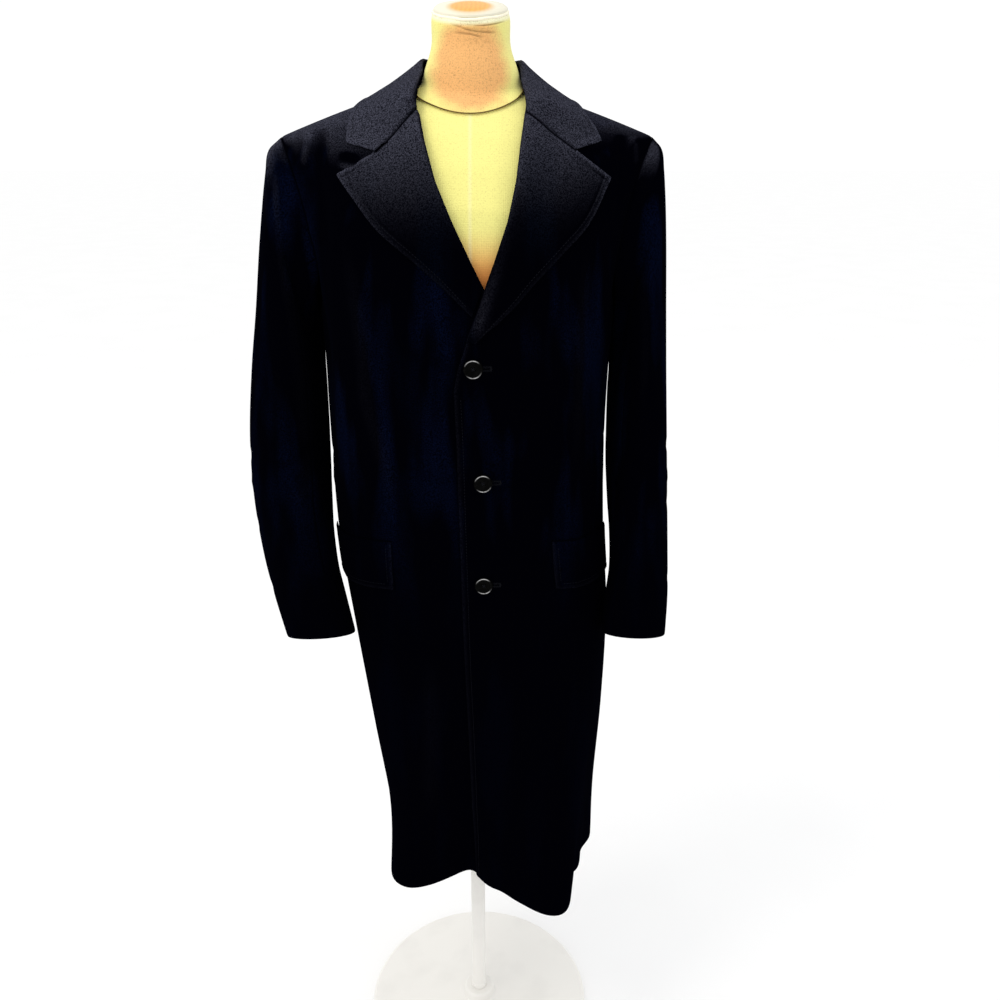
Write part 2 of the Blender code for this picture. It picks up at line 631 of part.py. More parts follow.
def turned_row(side, line, height):
    """Cross-section of a lapel: up from the panel's edge, over, and down to lie on the panel."""
    start, notch, end = line
    to_notch, beyond = np.linalg.norm(notch - start), np.linalg.norm(end - notch)
    roll_inset = ROLL_COLUMNS["inset"] * min(1, ROLL_SHARE * to_notch / ROLL_COLUMNS["inset"][-1])
    first = roll_inset[-1]
    flat = np.concatenate([first + (to_notch - first) * GORGE_SHARES, to_notch + beyond * FREE_SHARES])
    settle = min(SETTLE_LENGTH, SETTLE_SHARE * (to_notch + beyond))
    fall = height + (LAY + CLOTH - height) * ease_in((flat - first) / (settle - first))
    rise = np.concatenate([np.maximum(ROLL_COLUMNS["rise"] * height, SEAM_LIFT), fall])
    spot = along_line(line, np.concatenate([roll_inset, flat]) / (to_notch + beyond))
    point, normal = front_skin(side, *front_spot(spot[:, 0], spot[:, 1]))
    return point + normal * rise[:, None]


def lapel_grid(side):
    """Points and normals of a lapel turned back over the front along the roll line."""
    starts = np.array([roll_spot(side, row) for row in LAPEL_ROWS[side]])
    shares = (starts[:, 1] - starts[0, 1]) / (starts[-1, 1] - starts[0, 1])
    ends = along_line(LAPEL_EDGES[side], shares)
    rows = []
    for start, end, share in zip(starts, ends, shares):
        straight = start + (end - start) * NOTCH_SHARE
        notch = straight + (np.array(LAPEL_NOTCH[side]) - straight) * share ** NOTCH_RISE
        height = ROLL_HEIGHT[0] + (ROLL_HEIGHT[1] - ROLL_HEIGHT[0]) * share
        rows.append(turned_row(side, np.array([start, notch, end]), height))
    outer = np.array(rows)
    return outer, grid_normals(outer, side)


def add_lapel(side, material):
    """Lapel from the break to the gorge seam."""
    outer, normal = lapel_grid(side)
    grids = [outer, outer - CLOTH * normal]
    for grid in grids:
        part_edge(grid, "top")
    return add_wall(f"lapel_{'left' if side == LEFT else 'right'}", *grids, material)


def surface_spot(side, turn, row):
    """Point and normal at a turn off the centre, on rows that run over the shoulder and down the back."""
    behind = row > SHOULDER_ROW
    at_turn = side * np.where(behind, 180 - turn, turn)
    at_row = np.where(behind, 2 * SHOULDER_ROW - row, row)
    return coat_point(at_turn, at_row), coat_normal(at_turn, at_row)


def coat_samples():
    """Dense points and normals of the upper body, to seat the collar on."""
    rows = np.arange(ARMPIT_ROW, SHOULDER_ROW + SAMPLE_ROW / 2, SAMPLE_ROW)
    turn, row = np.meshgrid(np.arange(-180, 180, SAMPLE_TURN), rows)
    return coat_point(turn, row).reshape(-1, 3), coat_normal(turn, row).reshape(-1, 3)


def seat(points, lift, samples):
    """Moves points out until each lies at least its lift above the coat."""
    seated = points.copy()
    for _ in range(2):
        for i, point in enumerate(seated):
            nearest = ((samples[0] - point) ** 2).sum(axis=1).argmin()
            above = (point - samples[0][nearest]) @ samples[1][nearest]
            seated[i] = point + samples[1][nearest] * max(0.0, lift - above)
    return seated


def neck_turn(side, row):
    """Turn off the centre of the neckline, on rows that run over the shoulder and down the back."""
    if row > SHOULDER_ROW:
        return np.interp(2 * SHOULDER_ROW - row, BACK_NECK["row"], BACK_NECK["turn"])
    return side * turn_at(front_edge_x(side, row), row)


def gorge_row(side):
    """First cross-section of the collar, along the lapel to the notch and on to the corner."""
    line = np.array([roll_spot(side, COLLAR_ROWS[0]), LAPEL_NOTCH[side], COLLAR_CORNER[side]])
    return turned_row(side, line, ROLL_HEIGHT[1])


def collar_row(side, row, first, samples):
    """Cross-section of the collar: stand, fold and fall, at a row of the neckline."""
    table = {name: COLLAR[name].copy() for name in COLLAR}
    corner_turn, corner_row = front_spot(*COLLAR_CORNER[side])
    for name, value in zip(("fold_x", "fold_y", "fold_z"), first[2] - [COLLAR_SHIFT, 0, 0]):
        table[name][0] = side * value if name == "fold_x" else value
    table["fold_x"] = table["fold_x"] + side * COLLAR_SHIFT
    table["edge_turn"] = table["edge_turn"] + side * COLLAR_TURN_SHIFT
    table["edge_turn"][0], table["edge_row"][0] = side * corner_turn, corner_row
    step = np.interp(row, table["neck_row"], np.arange(len(table["neck_row"])))
    now = {name: smooth(table[name], step) for name in table}
    neck = np.array([neck_turn(side, row), row])
    path = neck + (np.array([now["edge_turn"], now["edge_row"]]) - neck) * COLLAR_SHARES[:, None]
    foot, foot_normal = surface_spot(side, *neck)
    bottom = foot + foot_normal * COLLAR_LIFT
    fold = np.array([side * now["fold_x"], now["fold_y"], now["fold_z"]])
    fold += foot_normal * max(0, LEAST_STAND - (fold - bottom) @ foot_normal)
    end_point, end_normal = surface_spot(side, *path[-1])
    before_end, _ = surface_spot(side, *(path[-1] + (path[-2] - path[-1]) * 0.5))
    end = end_point + end_normal * (COLLAR_AIR + CLOTH)
    up = unit(fold - bottom)
    out = unit((end - fold) - up * ((end - fold) @ up))
    stand = [bottom, bottom + (fold - bottom) * 0.5]
    bend = [fold + out * o + up * u for o, u in zip(COLLAR_FOLD["out"], COLLAR_FOLD["up"])]
    reach = np.linalg.norm(end - bend[-1])
    toward = unit(before_end - end_point)
    tall = min(1, np.linalg.norm(fold - bottom) / STAND_HEIGHT) ** 2
    away = unit(end - fold) * (1 - FALL_OUT * tall) - up * FALL_DROP * tall + out * FALL_OUT * (1 - tall)
    handles = [bend[-1], bend[-1] + away * reach * FALL_START, end + toward * reach * FALL_END, end]
    fall = []
    for share in COLLAR_SHARES:
        rest = 1 - share
        weights = (rest**3, 3 * rest * rest * share, 3 * rest * share * share, share**3)
        fall.append(sum(w * h for w, h in zip(weights, handles)))
    fall = seat(np.array(fall), COLLAR_AIR + CLOTH, samples)
    return np.array(stand + bend + list(fall))


def add_collar(material):
    """Collar with stand and fall, from one gorge round the neck to the other."""
    samples = coat_samples()
    halves = {}
    for side in (RIGHT, LEFT):
        first = gorge_row(side)
        halves[side] = [first] + [collar_row(side, row, first, samples) for row in COLLAR_ROWS[1:]]
    back = (halves[RIGHT][-1] + halves[LEFT][-1]) / 2
    outer = np.array(halves[RIGHT][:-1] + [back] + halves[LEFT][-2::-1])
    normal = grid_normals(outer, RIGHT)
    gorge = len(ROLL_COLUMNS["rise"]) + len(GORGE_SHARES)
    normal[0, :gorge] = lapel_grid(RIGHT)[1][-1, :gorge]
    normal[-1, :gorge] = lapel_grid(LEFT)[1][-1, :gorge]
    inner = outer - CLOTH * normal
    for grid in (outer, inner):
        part_edge(grid, "top")
        part_edge(grid, "bottom")
    return add_wall("collar", outer, inner, material)


# Pocket flaps
def on_grid(grid, row, column):
    """Point inside a grid at a fractional row and column."""
    r, c = min(int(row), grid.shape[0] - 2), min(int(column), grid.shape[1] - 2)
    up, over = row - r, column - c
    low = grid[r, c] * (1 - over) + grid[r, c + 1] * over
    return low * (1 - up) + (grid[r + 1, c] * (1 - over) + grid[r + 1, c + 1] * over) * up


def add_flap(side, material):
    """Pocket flap hanging from its seam on the front's side."""
    point, normal = front_grid(side)
    level_z = smooth(BODY["centre_z"], PANEL_ROWS)
    across = np.linspace(0, 1, len(FLAP_COLUMNS))
    outer, inner = [], []
    for hang in np.linspace(1, 0, FLAP_STEPS + 1):
        height = FLAP_TOP[0] + (FLAP_TOP[1] - FLAP_TOP[0]) * across - FLAP_DROP * hang
        level = np.interp(height, level_z, np.arange(len(level_z)))
        spots = [(row, column) for row, column in zip(level, FLAP_COLUMNS)]
        skin = np.array([on_grid(point, *spot) for spot in spots])
        way = unit(np.array([on_grid(normal, *spot) for spot in spots]))
        inner.append(skin + way * (FLAP_LAY[0] + (FLAP_LAY[1] - FLAP_LAY[0]) * hang))
        outer.append(inner[-1] + way * FLAP_CLOTH)
    name = "left" if side == LEFT else "right"
    return add_wall(f"pocket_flap_{name}", np.array(outer), np.array(inner), material)


# Turned pieces
def turned_bmesh(profile, segments):
    """Solid of revolution about Z from a profile that runs up its outer side to the top."""
    bm = bmesh.new()
    angles = np.arange(segments) * 2 * math.pi / segments
    rings = [[bm.verts.new((r * math.cos(a), r * math.sin(a), z)) for a in angles]
             for r, z in zip(profile["radius"], profile["height"])]
    for low, high in zip(rings, rings[1:]):
        for i in range(segments):
            j = (i + 1) % segments
            bm.faces.new([low[i], low[j], high[j], high[i]])
    bm.faces.new(rings[0][::-1])
    bm.faces.new(rings[-1])
    return bm


def axis_matrix(point, axis):
    """Placement with local Z along an axis."""
    return Matrix.Translation(Vector(point)) @ Vector(axis).to_track_quat("Z", "Y").to_matrix().to_4x4()


def add_front_button(index, material):
    """Four-hole button with a raised rim, on the left front."""
    x, z = BUTTON_SPOTS[index]
    point, normal = front_skin(LEFT, *front_spot(x, z))
    button = add_object(f"front_button_{index + 1}", turned_bmesh(BUTTON_PROFILE, BUTTON_SEGMENTS), material)
    cutters = bmesh.new()
    for sx in (-1, 1):
        for sy in (-1, 1):
            spot = Matrix.Translation((sx * BUTTON_HOLE_SPREAD, sy * BUTTON_HOLE_SPREAD, 0))
            bmesh.ops.create_cone(
                cutters, cap_ends=True, segments=HOLE_SEGMENTS, radius1=BUTTON_HOLE_RADIUS,
                radius2=BUTTON_HOLE_RADIUS, depth=2 * BUTTON_PROFILE["radius"][0], matrix=spot)
    cutter = add_object(f"front_button_{index + 1}_holes", cutters, material)
    cutter.hide_render = True
    cutter.display_type = "WIRE"
    cut = button.modifiers.new("holes", "BOOLEAN")
    cut.object = cutter
    cut.operation = "DIFFERENCE"
    place = axis_matrix(point + normal * BUTTON_SEAT, normal)
    button.matrix_world = place
    cutter.matrix_world = place


def add_cuff_buttons(side, material):
    """Small buttons in a row on the back seam of a sleeve, above the cuff."""
    grid, normal = sleeve_grid(side)
    seam = SLEEVE_BACK_SEAM - 1
    spots, ways = grid[CUFF_BUTTON_RING:, seam], normal[CUFF_BUTTON_RING:, seam]
    name = "left" if side == LEFT else "right"
    for index, share in enumerate(CUFF_BUTTON_SHARES):
        point = along_line(spots, [share])[0]
        way = unit(along_line(ways, [share])[0])
        shape = turned_bmesh(CUFF_BUTTON_PROFILE, CUFF_BUTTON_SEGMENTS)
        obj = add_object(f"cuff_button_{name}_{index + 1}", shape, material)
        obj.matrix_world = axis_matrix(point + way * BUTTON_SEAT, way)


# Dress form and stand
def add_rings(name, rings, material, cap):
    """Closed body through rings of points, its ends closed flat or across from side to side."""
    bm = bmesh.new()
    loops = [[bm.verts.new(p) for p in ring] for ring in rings]
    count = len(rings[0])
    for low, high in zip(loops, loops[1:]):
        for i in range(count):
            j = (i + 1) % count
            bm.faces.new([low[i], low[j], high[j], high[i]])
    bm.faces.new(loops[0][::-1])
    if cap == "across":
        top, half = loops[-1], count // 2
        for i in range(half // 2):
            for way in (1, -1):
                strip = [way * i, way * (i + 1), half - way * (i + 1), half - way * i]
                bm.faces.new([top[k] for k in dict.fromkeys(j % count for j in strip)])
    else:
        bm.faces.new(loops[-1])
    return add_object(name, bm, material)


def add_form(cover, cap_material):
    """Covered torso with its neck, and the cap on top."""
    turn = np.arange(FORM_POINTS) * 360 / FORM_POINTS
    rings = []
    for row, ease, tuck in zip(FORM["row"], FORM["ease"], FORM["tuck"]):
        level = np.full(FORM_POINTS, row)
        rings.append(coat_point(turn, level, False, tuck) - ease * coat_normal(turn, level, False, tuck))
    rings[0][:, 2] = FORM_BOTTOM_Z
    torso = add_rings("form_torso", rings, cover, "across")
    angle = np.arange(NECK_POINTS) * 2 * math.pi / NECK_POINTS
    neck_rings = []
    for z, width, depth, fore, tilt in zip(*NECK.values()):
        rise = math.tan(math.radians(tilt)) * depth * np.cos(angle)
        ring = [NECK_X + width * np.sin(angle), fore - depth * np.cos(angle), z - rise]
        neck_rings.append(np.stack(ring, axis=-1))
    neck = add_rings("form_neck_shape", neck_rings, cover, "flat")
    neck.hide_render = True
    neck.display_type = "WIRE"
    join = torso.modifiers.new("neck", "BOOLEAN")
    join.object = neck
    join.operation = "UNION"
    lean = math.radians(NECK["tilt"][-1])
    axis = Vector((0, -math.sin(lean), math.cos(lean)))
    top = Vector((NECK_X, NECK["fore"][-1], NECK["middle_z"][-1]))
    cap = add_object("neck_cap", turned_bmesh(CAP_PROFILE, NECK_POINTS), cap_material)
    cap.matrix_world = axis_matrix(top + axis * GAP, axis)


def add_stand(pole_material, base_material):
    """Pole and round base plate."""
    add_object("base_plate", turned_bmesh(BASE_PROFILE, BASE_SEGMENTS), base_material)
    bottom, top = BASE_PROFILE["height"][-1] + GAP, FORM_BOTTOM_Z - GAP
    profile = {"radius": [POLE_RADIUS, POLE_RADIUS], "height": [bottom, top]}
    add_object("pole", turned_bmesh(profile, POLE_SEGMENTS), pole_material)


def main():
    """Builds the coat and what it stands on."""
    for obj in list(bpy.data.objects):
        bpy.data.objects.remove(obj)
    wool = finish("navy_wool", "#15161f", 0.92)
    horn = finish("button_resin", "#17130f", 0.30)
    linen = finish("linen_cover", "#e6d9b8", 0.90)
    beech = finish("neck_cap_wood", "#b9824c", 0.50)
    pole_enamel = finish("pole_enamel", "#eceae5", 0.40)
    base_enamel = finish("base_enamel", "#eceae5", 0.40)
    for side in (RIGHT, LEFT):
        add_front(side, wool)
        add_back(side, wool)
        add_sleeve(side, wool)
        add_lapel(side, wool)
        add_flap(side, wool)
        add_cuff_buttons(side, horn)
    add_collar(wool)
    for index in range(len(BUTTON_SPOTS)):
        add_front_button(index, horn)
    add_form(linen, beech)
    add_stand(pole_enamel, base_enamel)


if __name__ == "__main__":
    main()
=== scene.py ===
"""Looks of a long single-breasted overcoat of felted wool, worn by a limbless dress form.

Metres, +Z up. The coat faces -Y and +X is the wearer's left. The body of the coat is one surface, read by
a turn and a row: the turn is 0 at the centre front and +90 at the wearer's left side seam, the row is 0 at
the hem, 6 at the armpit and 12 along the shoulder seam.
"""
from __future__ import annotations

import json
import logging
import math
from collections.abc import Callable
from dataclasses import dataclass
from enum import Enum
from functools import partial

import bmesh
import bpy
import numpy as np
from mathutils import Matrix, Vector

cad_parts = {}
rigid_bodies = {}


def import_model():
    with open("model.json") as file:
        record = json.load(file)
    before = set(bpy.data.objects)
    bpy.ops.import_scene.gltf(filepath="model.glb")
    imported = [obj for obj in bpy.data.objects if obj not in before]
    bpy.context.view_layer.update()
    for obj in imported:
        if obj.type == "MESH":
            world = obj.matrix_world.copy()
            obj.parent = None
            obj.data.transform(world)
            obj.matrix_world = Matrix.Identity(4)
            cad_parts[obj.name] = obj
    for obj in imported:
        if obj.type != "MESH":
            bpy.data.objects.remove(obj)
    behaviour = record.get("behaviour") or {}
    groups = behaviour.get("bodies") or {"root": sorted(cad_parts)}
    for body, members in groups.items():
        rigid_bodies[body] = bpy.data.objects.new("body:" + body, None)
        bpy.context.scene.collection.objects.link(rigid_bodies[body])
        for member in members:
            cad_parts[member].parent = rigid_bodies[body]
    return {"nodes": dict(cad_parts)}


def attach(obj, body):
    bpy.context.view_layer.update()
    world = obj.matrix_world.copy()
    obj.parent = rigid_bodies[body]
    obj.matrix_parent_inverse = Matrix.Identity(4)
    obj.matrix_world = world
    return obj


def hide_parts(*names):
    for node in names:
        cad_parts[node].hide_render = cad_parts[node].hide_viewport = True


for leftover in list(bpy.data.objects):
    bpy.data.objects.remove(leftover)
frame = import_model()

LOG = logging.getLogger("overcoat")
BODY_NAME = "root"
EASED_ANGLE, SMOOTH_ANGLE = math.radians(28), math.radians(40)
Array, Object = np.ndarray, bpy.types.Object
Pair = tuple[Array, Array]
Span, Spot = tuple[float, float], tuple[float, float, float]
Points = tuple[Span, ...]


# Plain helpers
@dataclass(frozen=True)
class Table:
    """A short table of sizes with named columns."""

    names: tuple[str, ...]
    rows: tuple[tuple[float, ...], ...]

    def __getitem__(self, name: str) -> Array:
        """One column of the table."""
        at = self.names.index(name)
        return np.array([row[at] for row in self.rows], float)


def smooth(column: Array, at: Array | float) -> Array:
    """Reads a line of values along a smooth curve through them.

    Args:
        column: values along the first axis.
        at: places between the values, counted in values.

    Returns:
        The values at those places.
    """
    at = np.clip(np.asarray(at, float), 0, len(column) - 1)
    low = np.minimum(at.astype(int), len(column) - 2)
    share = (at - low).reshape(at.shape + (1,) * (column.ndim - 1))
    last = len(column) - 1
    is_first = (low > 0).reshape(share.shape)
    is_last = (low < last - 1).reshape(share.shape)
    start, end = column[low], column[low + 1]
    before = np.where(is_first, column[np.maximum(low - 1, 0)], 2 * column[0] - column[1])
    after = np.where(is_last, column[np.minimum(low + 2, last)], 2 * column[-1] - column[-2])
    square = 2 * before - 5 * start + 4 * end - after
    cube = 3 * start - before - 3 * end + after
    return 0.5 * (2 * start + (end - before) * share + square * share**2 + cube * share**3)


def ease_in(share: Array | float) -> Array:
    """Smooth step from 0 to 1."""
    share = np.clip(share, 0, 1)
    return share * share * (3 - 2 * share)


def unit(vectors: Array) -> Array:
    """Vectors along the last axis at length one."""
    return vectors / np.maximum(np.linalg.norm(vectors, axis=-1, keepdims=True), 1e-12)


def walk(points: Array) -> Array:
    """Length walked along the second axis of a grid of points, from its first column."""
    steps = np.linalg.norm(np.diff(points, axis=1), axis=-1)
    return np.concatenate([np.zeros((len(points), 1)), np.cumsum(steps, axis=1)], axis=1)


def read(values: Array, length: Array, at: Array | float) -> Array:
    """Rows of values along a line, read at places on its walked length."""
    return np.stack([np.interp(at, length, column) for column in values.T], axis=-1)


def along_line(points: Array, shares: Array) -> Array:
    """Points at shares of the length of a line."""
    points = np.asarray(points, float)
    length = walk(points[None])[0]
    return read(points, length, np.asarray(shares) * length[-1])


def grid_normals(grid: Array, way: int) -> Array:
    """Normals of a grid of points, each the mean of those of the faces round it."""
    across, up = grid[:, 1:] - grid[:, :-1], grid[1:] - grid[:-1]
    faces = way * unit(np.cross(across[:-1] + across[1:], up[:, :-1] + up[:, 1:]))
    total = np.zeros(grid.shape)
    for down in (0, 1):
        for over in (0, 1):
            total[down:grid.shape[0] - 1 + down, over:grid.shape[1] - 1 + over] += faces
    return unit(total)


class Side(Enum):
    """The wearer's sides."""

    RIGHT = -1
    LEFT = 1

    @property
    def word(self) -> str:
        """The side's name in lower case."""
        return self.name.lower()


# The surface of the coat's body
@dataclass(frozen=True)
class CoatBody:
    """The surface that the panels, flaps, lapels and collar take their points from."""

    cloth: float = 0.0028
    lap_gap: float = 0.0006
    levels: Table = Table(("centre_z", "side_z", "right", "left", "front", "seam", "back", "square"), (
        (0.388, 0.386, -0.148, 0.1985, -0.128, 0.01, 0.13, 2.5),
        (0.52, 0.52, -0.15, 0.198, -0.14, 0.008, 0.132, 2.6),
        (0.68, 0.68, -0.168, 0.205, -0.146, 0.006, 0.132, 2.8),
        (0.85, 0.85, -0.1885, 0.206, -0.15, 0.004, 0.13, 2.8),
        (1.0, 1.0, -0.2005, 0.194, -0.152, 0.002, 0.128, 2.8),
        (1.14, 1.14, -0.202, 0.1895, -0.154, 0.0, 0.128, 2.8),
        (1.27, 1.27, -0.203, 0.1925, -0.157, 0.0, 0.132, 2.7),
        (1.365, 1.36, -0.21, 0.2, -0.155, 0.0, 0.134, 2.6),
        (1.458, 1.436, -0.226, 0.218, -0.141, 0.002, 0.126, 2.5),
        (1.528, 1.488, -0.24, 0.232, -0.11, 0.004, 0.106, 2.5),
        (1.578, 1.518, -0.247, 0.239, -0.071, 0.005, 0.076, 2.5),
        (1.604, 1.531, -0.249, 0.241, -0.034, 0.005, 0.042, 2.5),
        (1.612, 1.535, -0.25, 0.242, 0.005, 0.005, 0.005, 2.5)))
    shoulder_row: int = 12
    shoulder_curve: float = 1.25
    # Beside the shoulder's tip the normals are read at a turn of 80 and shared by front and back
    tip_turn: float = 80.0
    tip_sines: Spot = (0.985, 0.75, 0.2)
    tip_rows: Span = (10.5, 1.2)
    fold_rows: tuple[float, ...] = (0, 1.2, 3, 6)
    folds: Table = Table((
        "turn_0", "turn_1", "turn_2", "turn_3", "out_0", "out_1", "out_2", "out_3", "spread", "top_row"), (
        (24, 35, 41, 34, 0.071, 0.022, 0.008, 0.005, 21.5, 8.5),
        (-44, -43, -42, -37, 0.031, 0.011, 0.006, 0.005, 27, 8.0),
        (-17, -12, -6, -4, -0.042, -0.018, -0.005, 0.0, 23, 3.6),
        (68, 67, 68, 66, -0.014, -0.007, -0.003, 0.0, 20, 4.5),
        (-76, -72, -68, -66, -0.005, -0.005, -0.003, 0.0, 16, 4.5),
        (118, 120, 124, 126, 0.012, 0.008, 0.004, 0.003, 16, 7.5),
        (150, 148, 146, 144, -0.01, -0.007, -0.004, -0.002, 18, 7.0),
        (-122, -124, -124, -126, 0.01, 0.007, 0.005, 0.003, 16, 7.0),
        (-154, -150, -148, -146, -0.012, -0.008, -0.004, -0.002, 18, 7.5),
        (178, 178, 179, 180, 0.009, 0.006, 0.003, 0.0, 16, 6.0)))
    edges: Table = Table(("height", "right", "left"), (
        (0.388, 0.052, -0.005), (0.85, 0.05, -0.012), (1.16, 0.048, -0.017), (1.235, 0.048, -0.0194),
        (1.262, 0.048, -0.0142), (1.29, 0.047, -0.005), (1.31, 0.044, 0.001), (1.335, 0.034, 0.0108),
        (1.362, 0.0205, 0.02), (1.397, 0.003, 0.033), (1.443, -0.019, 0.049), (1.488, -0.0385, 0.059),
        (1.533, -0.052, 0.065), (1.563, -0.059, 0.07), (1.583, -0.0715, 0.0745), (1.5935, -0.0856, 0.0776)))
    least_lap: float = 0.03
    lap_fade: Span = (0.054, 0.088)
    lap_top: Span = (1.375, 1.45)
    armhole: Table = Table(("row", "front_cut", "back_cut"), (
        (6.0, 0.0, 0.0), (6.12, 4.5, 4.0), (6.3, 10.5, 9.5), (6.55, 18.0, 16.0), (6.9, 24.5, 21.5),
        (7.35, 28.0, 24.5), (7.8, 29.0, 25.5), (8.25, 29.0, 26.0), (8.75, 27.8, 25.2), (9.35, 25.2, 23.2),
        (9.9, 21.5, 20.0), (10.2, 19.5, 18.0), (10.45, 17.8, 16.6), (10.75, 15.6, 14.8), (11.2, 13.0, 12.6),
        (12.0, 14.0, 14.0)))
    back_neck: Table = Table(("row", "turn"), (
        (10.2, 0.0), (10.45, 8.5), (10.75, 13.0), (11.2, 16.2), (12.0, 18.8)))

    def fold_height(self, turn: Array, row: Array) -> Array:
        """How far the drape folds stand out of the plain section."""
        height = np.zeros(np.broadcast(turn, row).shape)
        folds = self.folds
        for i, (spread, top) in enumerate(zip(folds["spread"], folds["top_row"])):
            turns = [folds[f"turn_{k}"][i] for k in range(len(self.fold_rows))]
            outs = [folds[f"out_{k}"][i] for k in range(len(self.fold_rows))]
            away = (turn - np.interp(row, self.fold_rows, turns) + 180) % 360 - 180
            across = np.cos(np.clip(away / spread, -1, 1) * math.pi / 2) ** 2
            height = height + np.interp(row, self.fold_rows, outs) * across * ease_in((top - row) / (0.45 * top))
        return height

    def point(self, turn: Array, row: Array) -> Array:
        """Point of the body surface at a turn in degrees and a row."""
        turn, row = np.broadcast_arrays(np.asarray(turn, float), np.asarray(row, float))
        centre_z, side_z, right, left, front, seam, back, square = (
            smooth(self.levels[name], row) for name in self.levels.names)
        middle, half = (left + right) / 2, (left - right) / 2
        sine, cosine = np.sin(np.radians(turn)), np.cos(np.radians(turn))
        reach = (abs(sine) ** square + abs(cosine) ** square) ** (1 / square)
        x = middle + half * sine / reach
        y = seam + np.where(cosine > 0, front - seam, seam - back) * cosine / reach
        z = centre_z + (side_z - centre_z) * np.abs((x - middle) / half) ** self.shoulder_curve
        away = unit(np.stack([x - middle, y - seam], axis=-1))
        out = self.fold_height(turn, row)
        return np.stack([x + out * away[..., 0], y + out * away[..., 1], z], axis=-1)

    def normal(self, turn: Array, row: Array) -> Array:
        """Outward normal of the body surface. Along the shoulder seam, front and back share one."""
        turn, row = np.broadcast_arrays(np.asarray(turn, float), np.asarray(row, float))
        turn_step, row_step = 0.5, 0.02
        at_tip = (row > self.shoulder_row - row_step) & (abs(np.sin(np.radians(turn))) > self.tip_sines[0])
        turn = np.where(at_tip, np.sign(turn) * self.tip_turn, turn)

        def one_side(at: Array) -> Array:
            """Normal from the points round one spot."""
            along = self.point(at + turn_step, row) - self.point(at - turn_step, row)
            low = self.point(at, np.maximum(row - row_step, 0))
            high = self.point(at, np.minimum(row + row_step, self.shoulder_row))
            return unit(np.cross(along, high - low))

        normal = one_side(turn)
        over_seam = unit(normal + one_side(180 - turn))
        near_tip = (ease_in((abs(np.sin(np.radians(turn))) - self.tip_sines[1]) / self.tip_sines[2])
                    * ease_in((row - self.tip_rows[0]) / self.tip_rows[1]))
        share = np.where(row > self.shoulder_row - row_step / 2, 1, near_tip)[..., None]
        return unit(normal + (over_seam - normal) * share)

    def turn_at(self, x: Array, row: Array) -> Array:
        """Turn in front at which a row passes x."""
        right, left, square = (smooth(self.levels[name], row) for name in ("right", "left", "square"))
        across = np.clip((x - (left + right) / 2) / ((left - right) / 2), -0.999, 0.999)
        return np.degrees(np.arctan2(across, (1 - abs(across) ** square) ** (1 / square)))

    def front_spot(self, x: Array, z: Array) -> Pair:
        """Turn and row of the point of the front with this x and z."""
        x, z = np.broadcast_arrays(np.asarray(x, float), np.asarray(z, float))
        low, high = np.zeros(x.shape), np.full(x.shape, float(self.shoulder_row))
        for _ in range(24):
            row = (low + high) / 2
            above = self.point(self.turn_at(x, row), row)[..., 2] > z
            low, high = np.where(above, low, row), np.where(above, row, high)
        return self.turn_at(x, row), row

    def edge_x(self, side: Side, row: Array) -> Array:
        """X of a front's free edge at a row."""
        height = smooth(self.levels["centre_z"], row)
        for _ in range(5):
            x = np.interp(height, self.edges["height"], self.edges[side.word])
            height = self.point(self.turn_at(x, row), row)[..., 2]
        return x

    def skin(self, side: Side, turn: Array, row: Array) -> Pair:
        """Outer point and normal of a front panel. The left one lies out over the right one at the lap."""
        point, normal = self.point(turn, row), self.normal(turn, row)
        if side == Side.LEFT:
            beside = 1 - ease_in((point[..., 0] - self.lap_fade[0]) / (self.lap_fade[1] - self.lap_fade[0]))
            below = 1 - ease_in((point[..., 2] - self.lap_top[0]) / (self.lap_top[1] - self.lap_top[0]))
            point = point + normal * ((self.cloth + self.lap_gap) * beside * below)[..., None]
        return point, normal

    def armhole_turn(self, side: Side, face: str, rows: Array) -> Array:
        """Turn of the armhole edge on the front or back, or of the side seam below it."""
        at = np.interp(rows, self.armhole["row"], np.arange(len(self.armhole.rows)))
        cut = np.maximum(smooth(self.armhole[f"{face}_cut"], at), 0)
        return side.value * (90 - cut) if face == "front" else side.value * (90 + cut)

    def roll_spot(self, side: Side, row: float) -> Array:
        """X and z of a front's edge at a row."""
        x = self.edge_x(side, row)
        return np.array([x, self.point(self.turn_at(x, row), row)[2]])


# Creases and cloth walls
def put(name: str, data: bpy.types.ID) -> Object:
    """A new object in the scene."""
    piece = bpy.data.objects.new(name, data)
    bpy.context.scene.collection.objects.link(piece)
    return piece


class View(Enum):
    """The side of the coat that a crease is drawn on: its outward way and its flat axes."""

    FRONT = ((0, -1, 0), (0, 2))
    BACK = ((0, 1, 0), (0, 2))
    LEFT = ((1, 0, 0), (1, 2))
    RIGHT = ((-1, 0, 0), (1, 2))


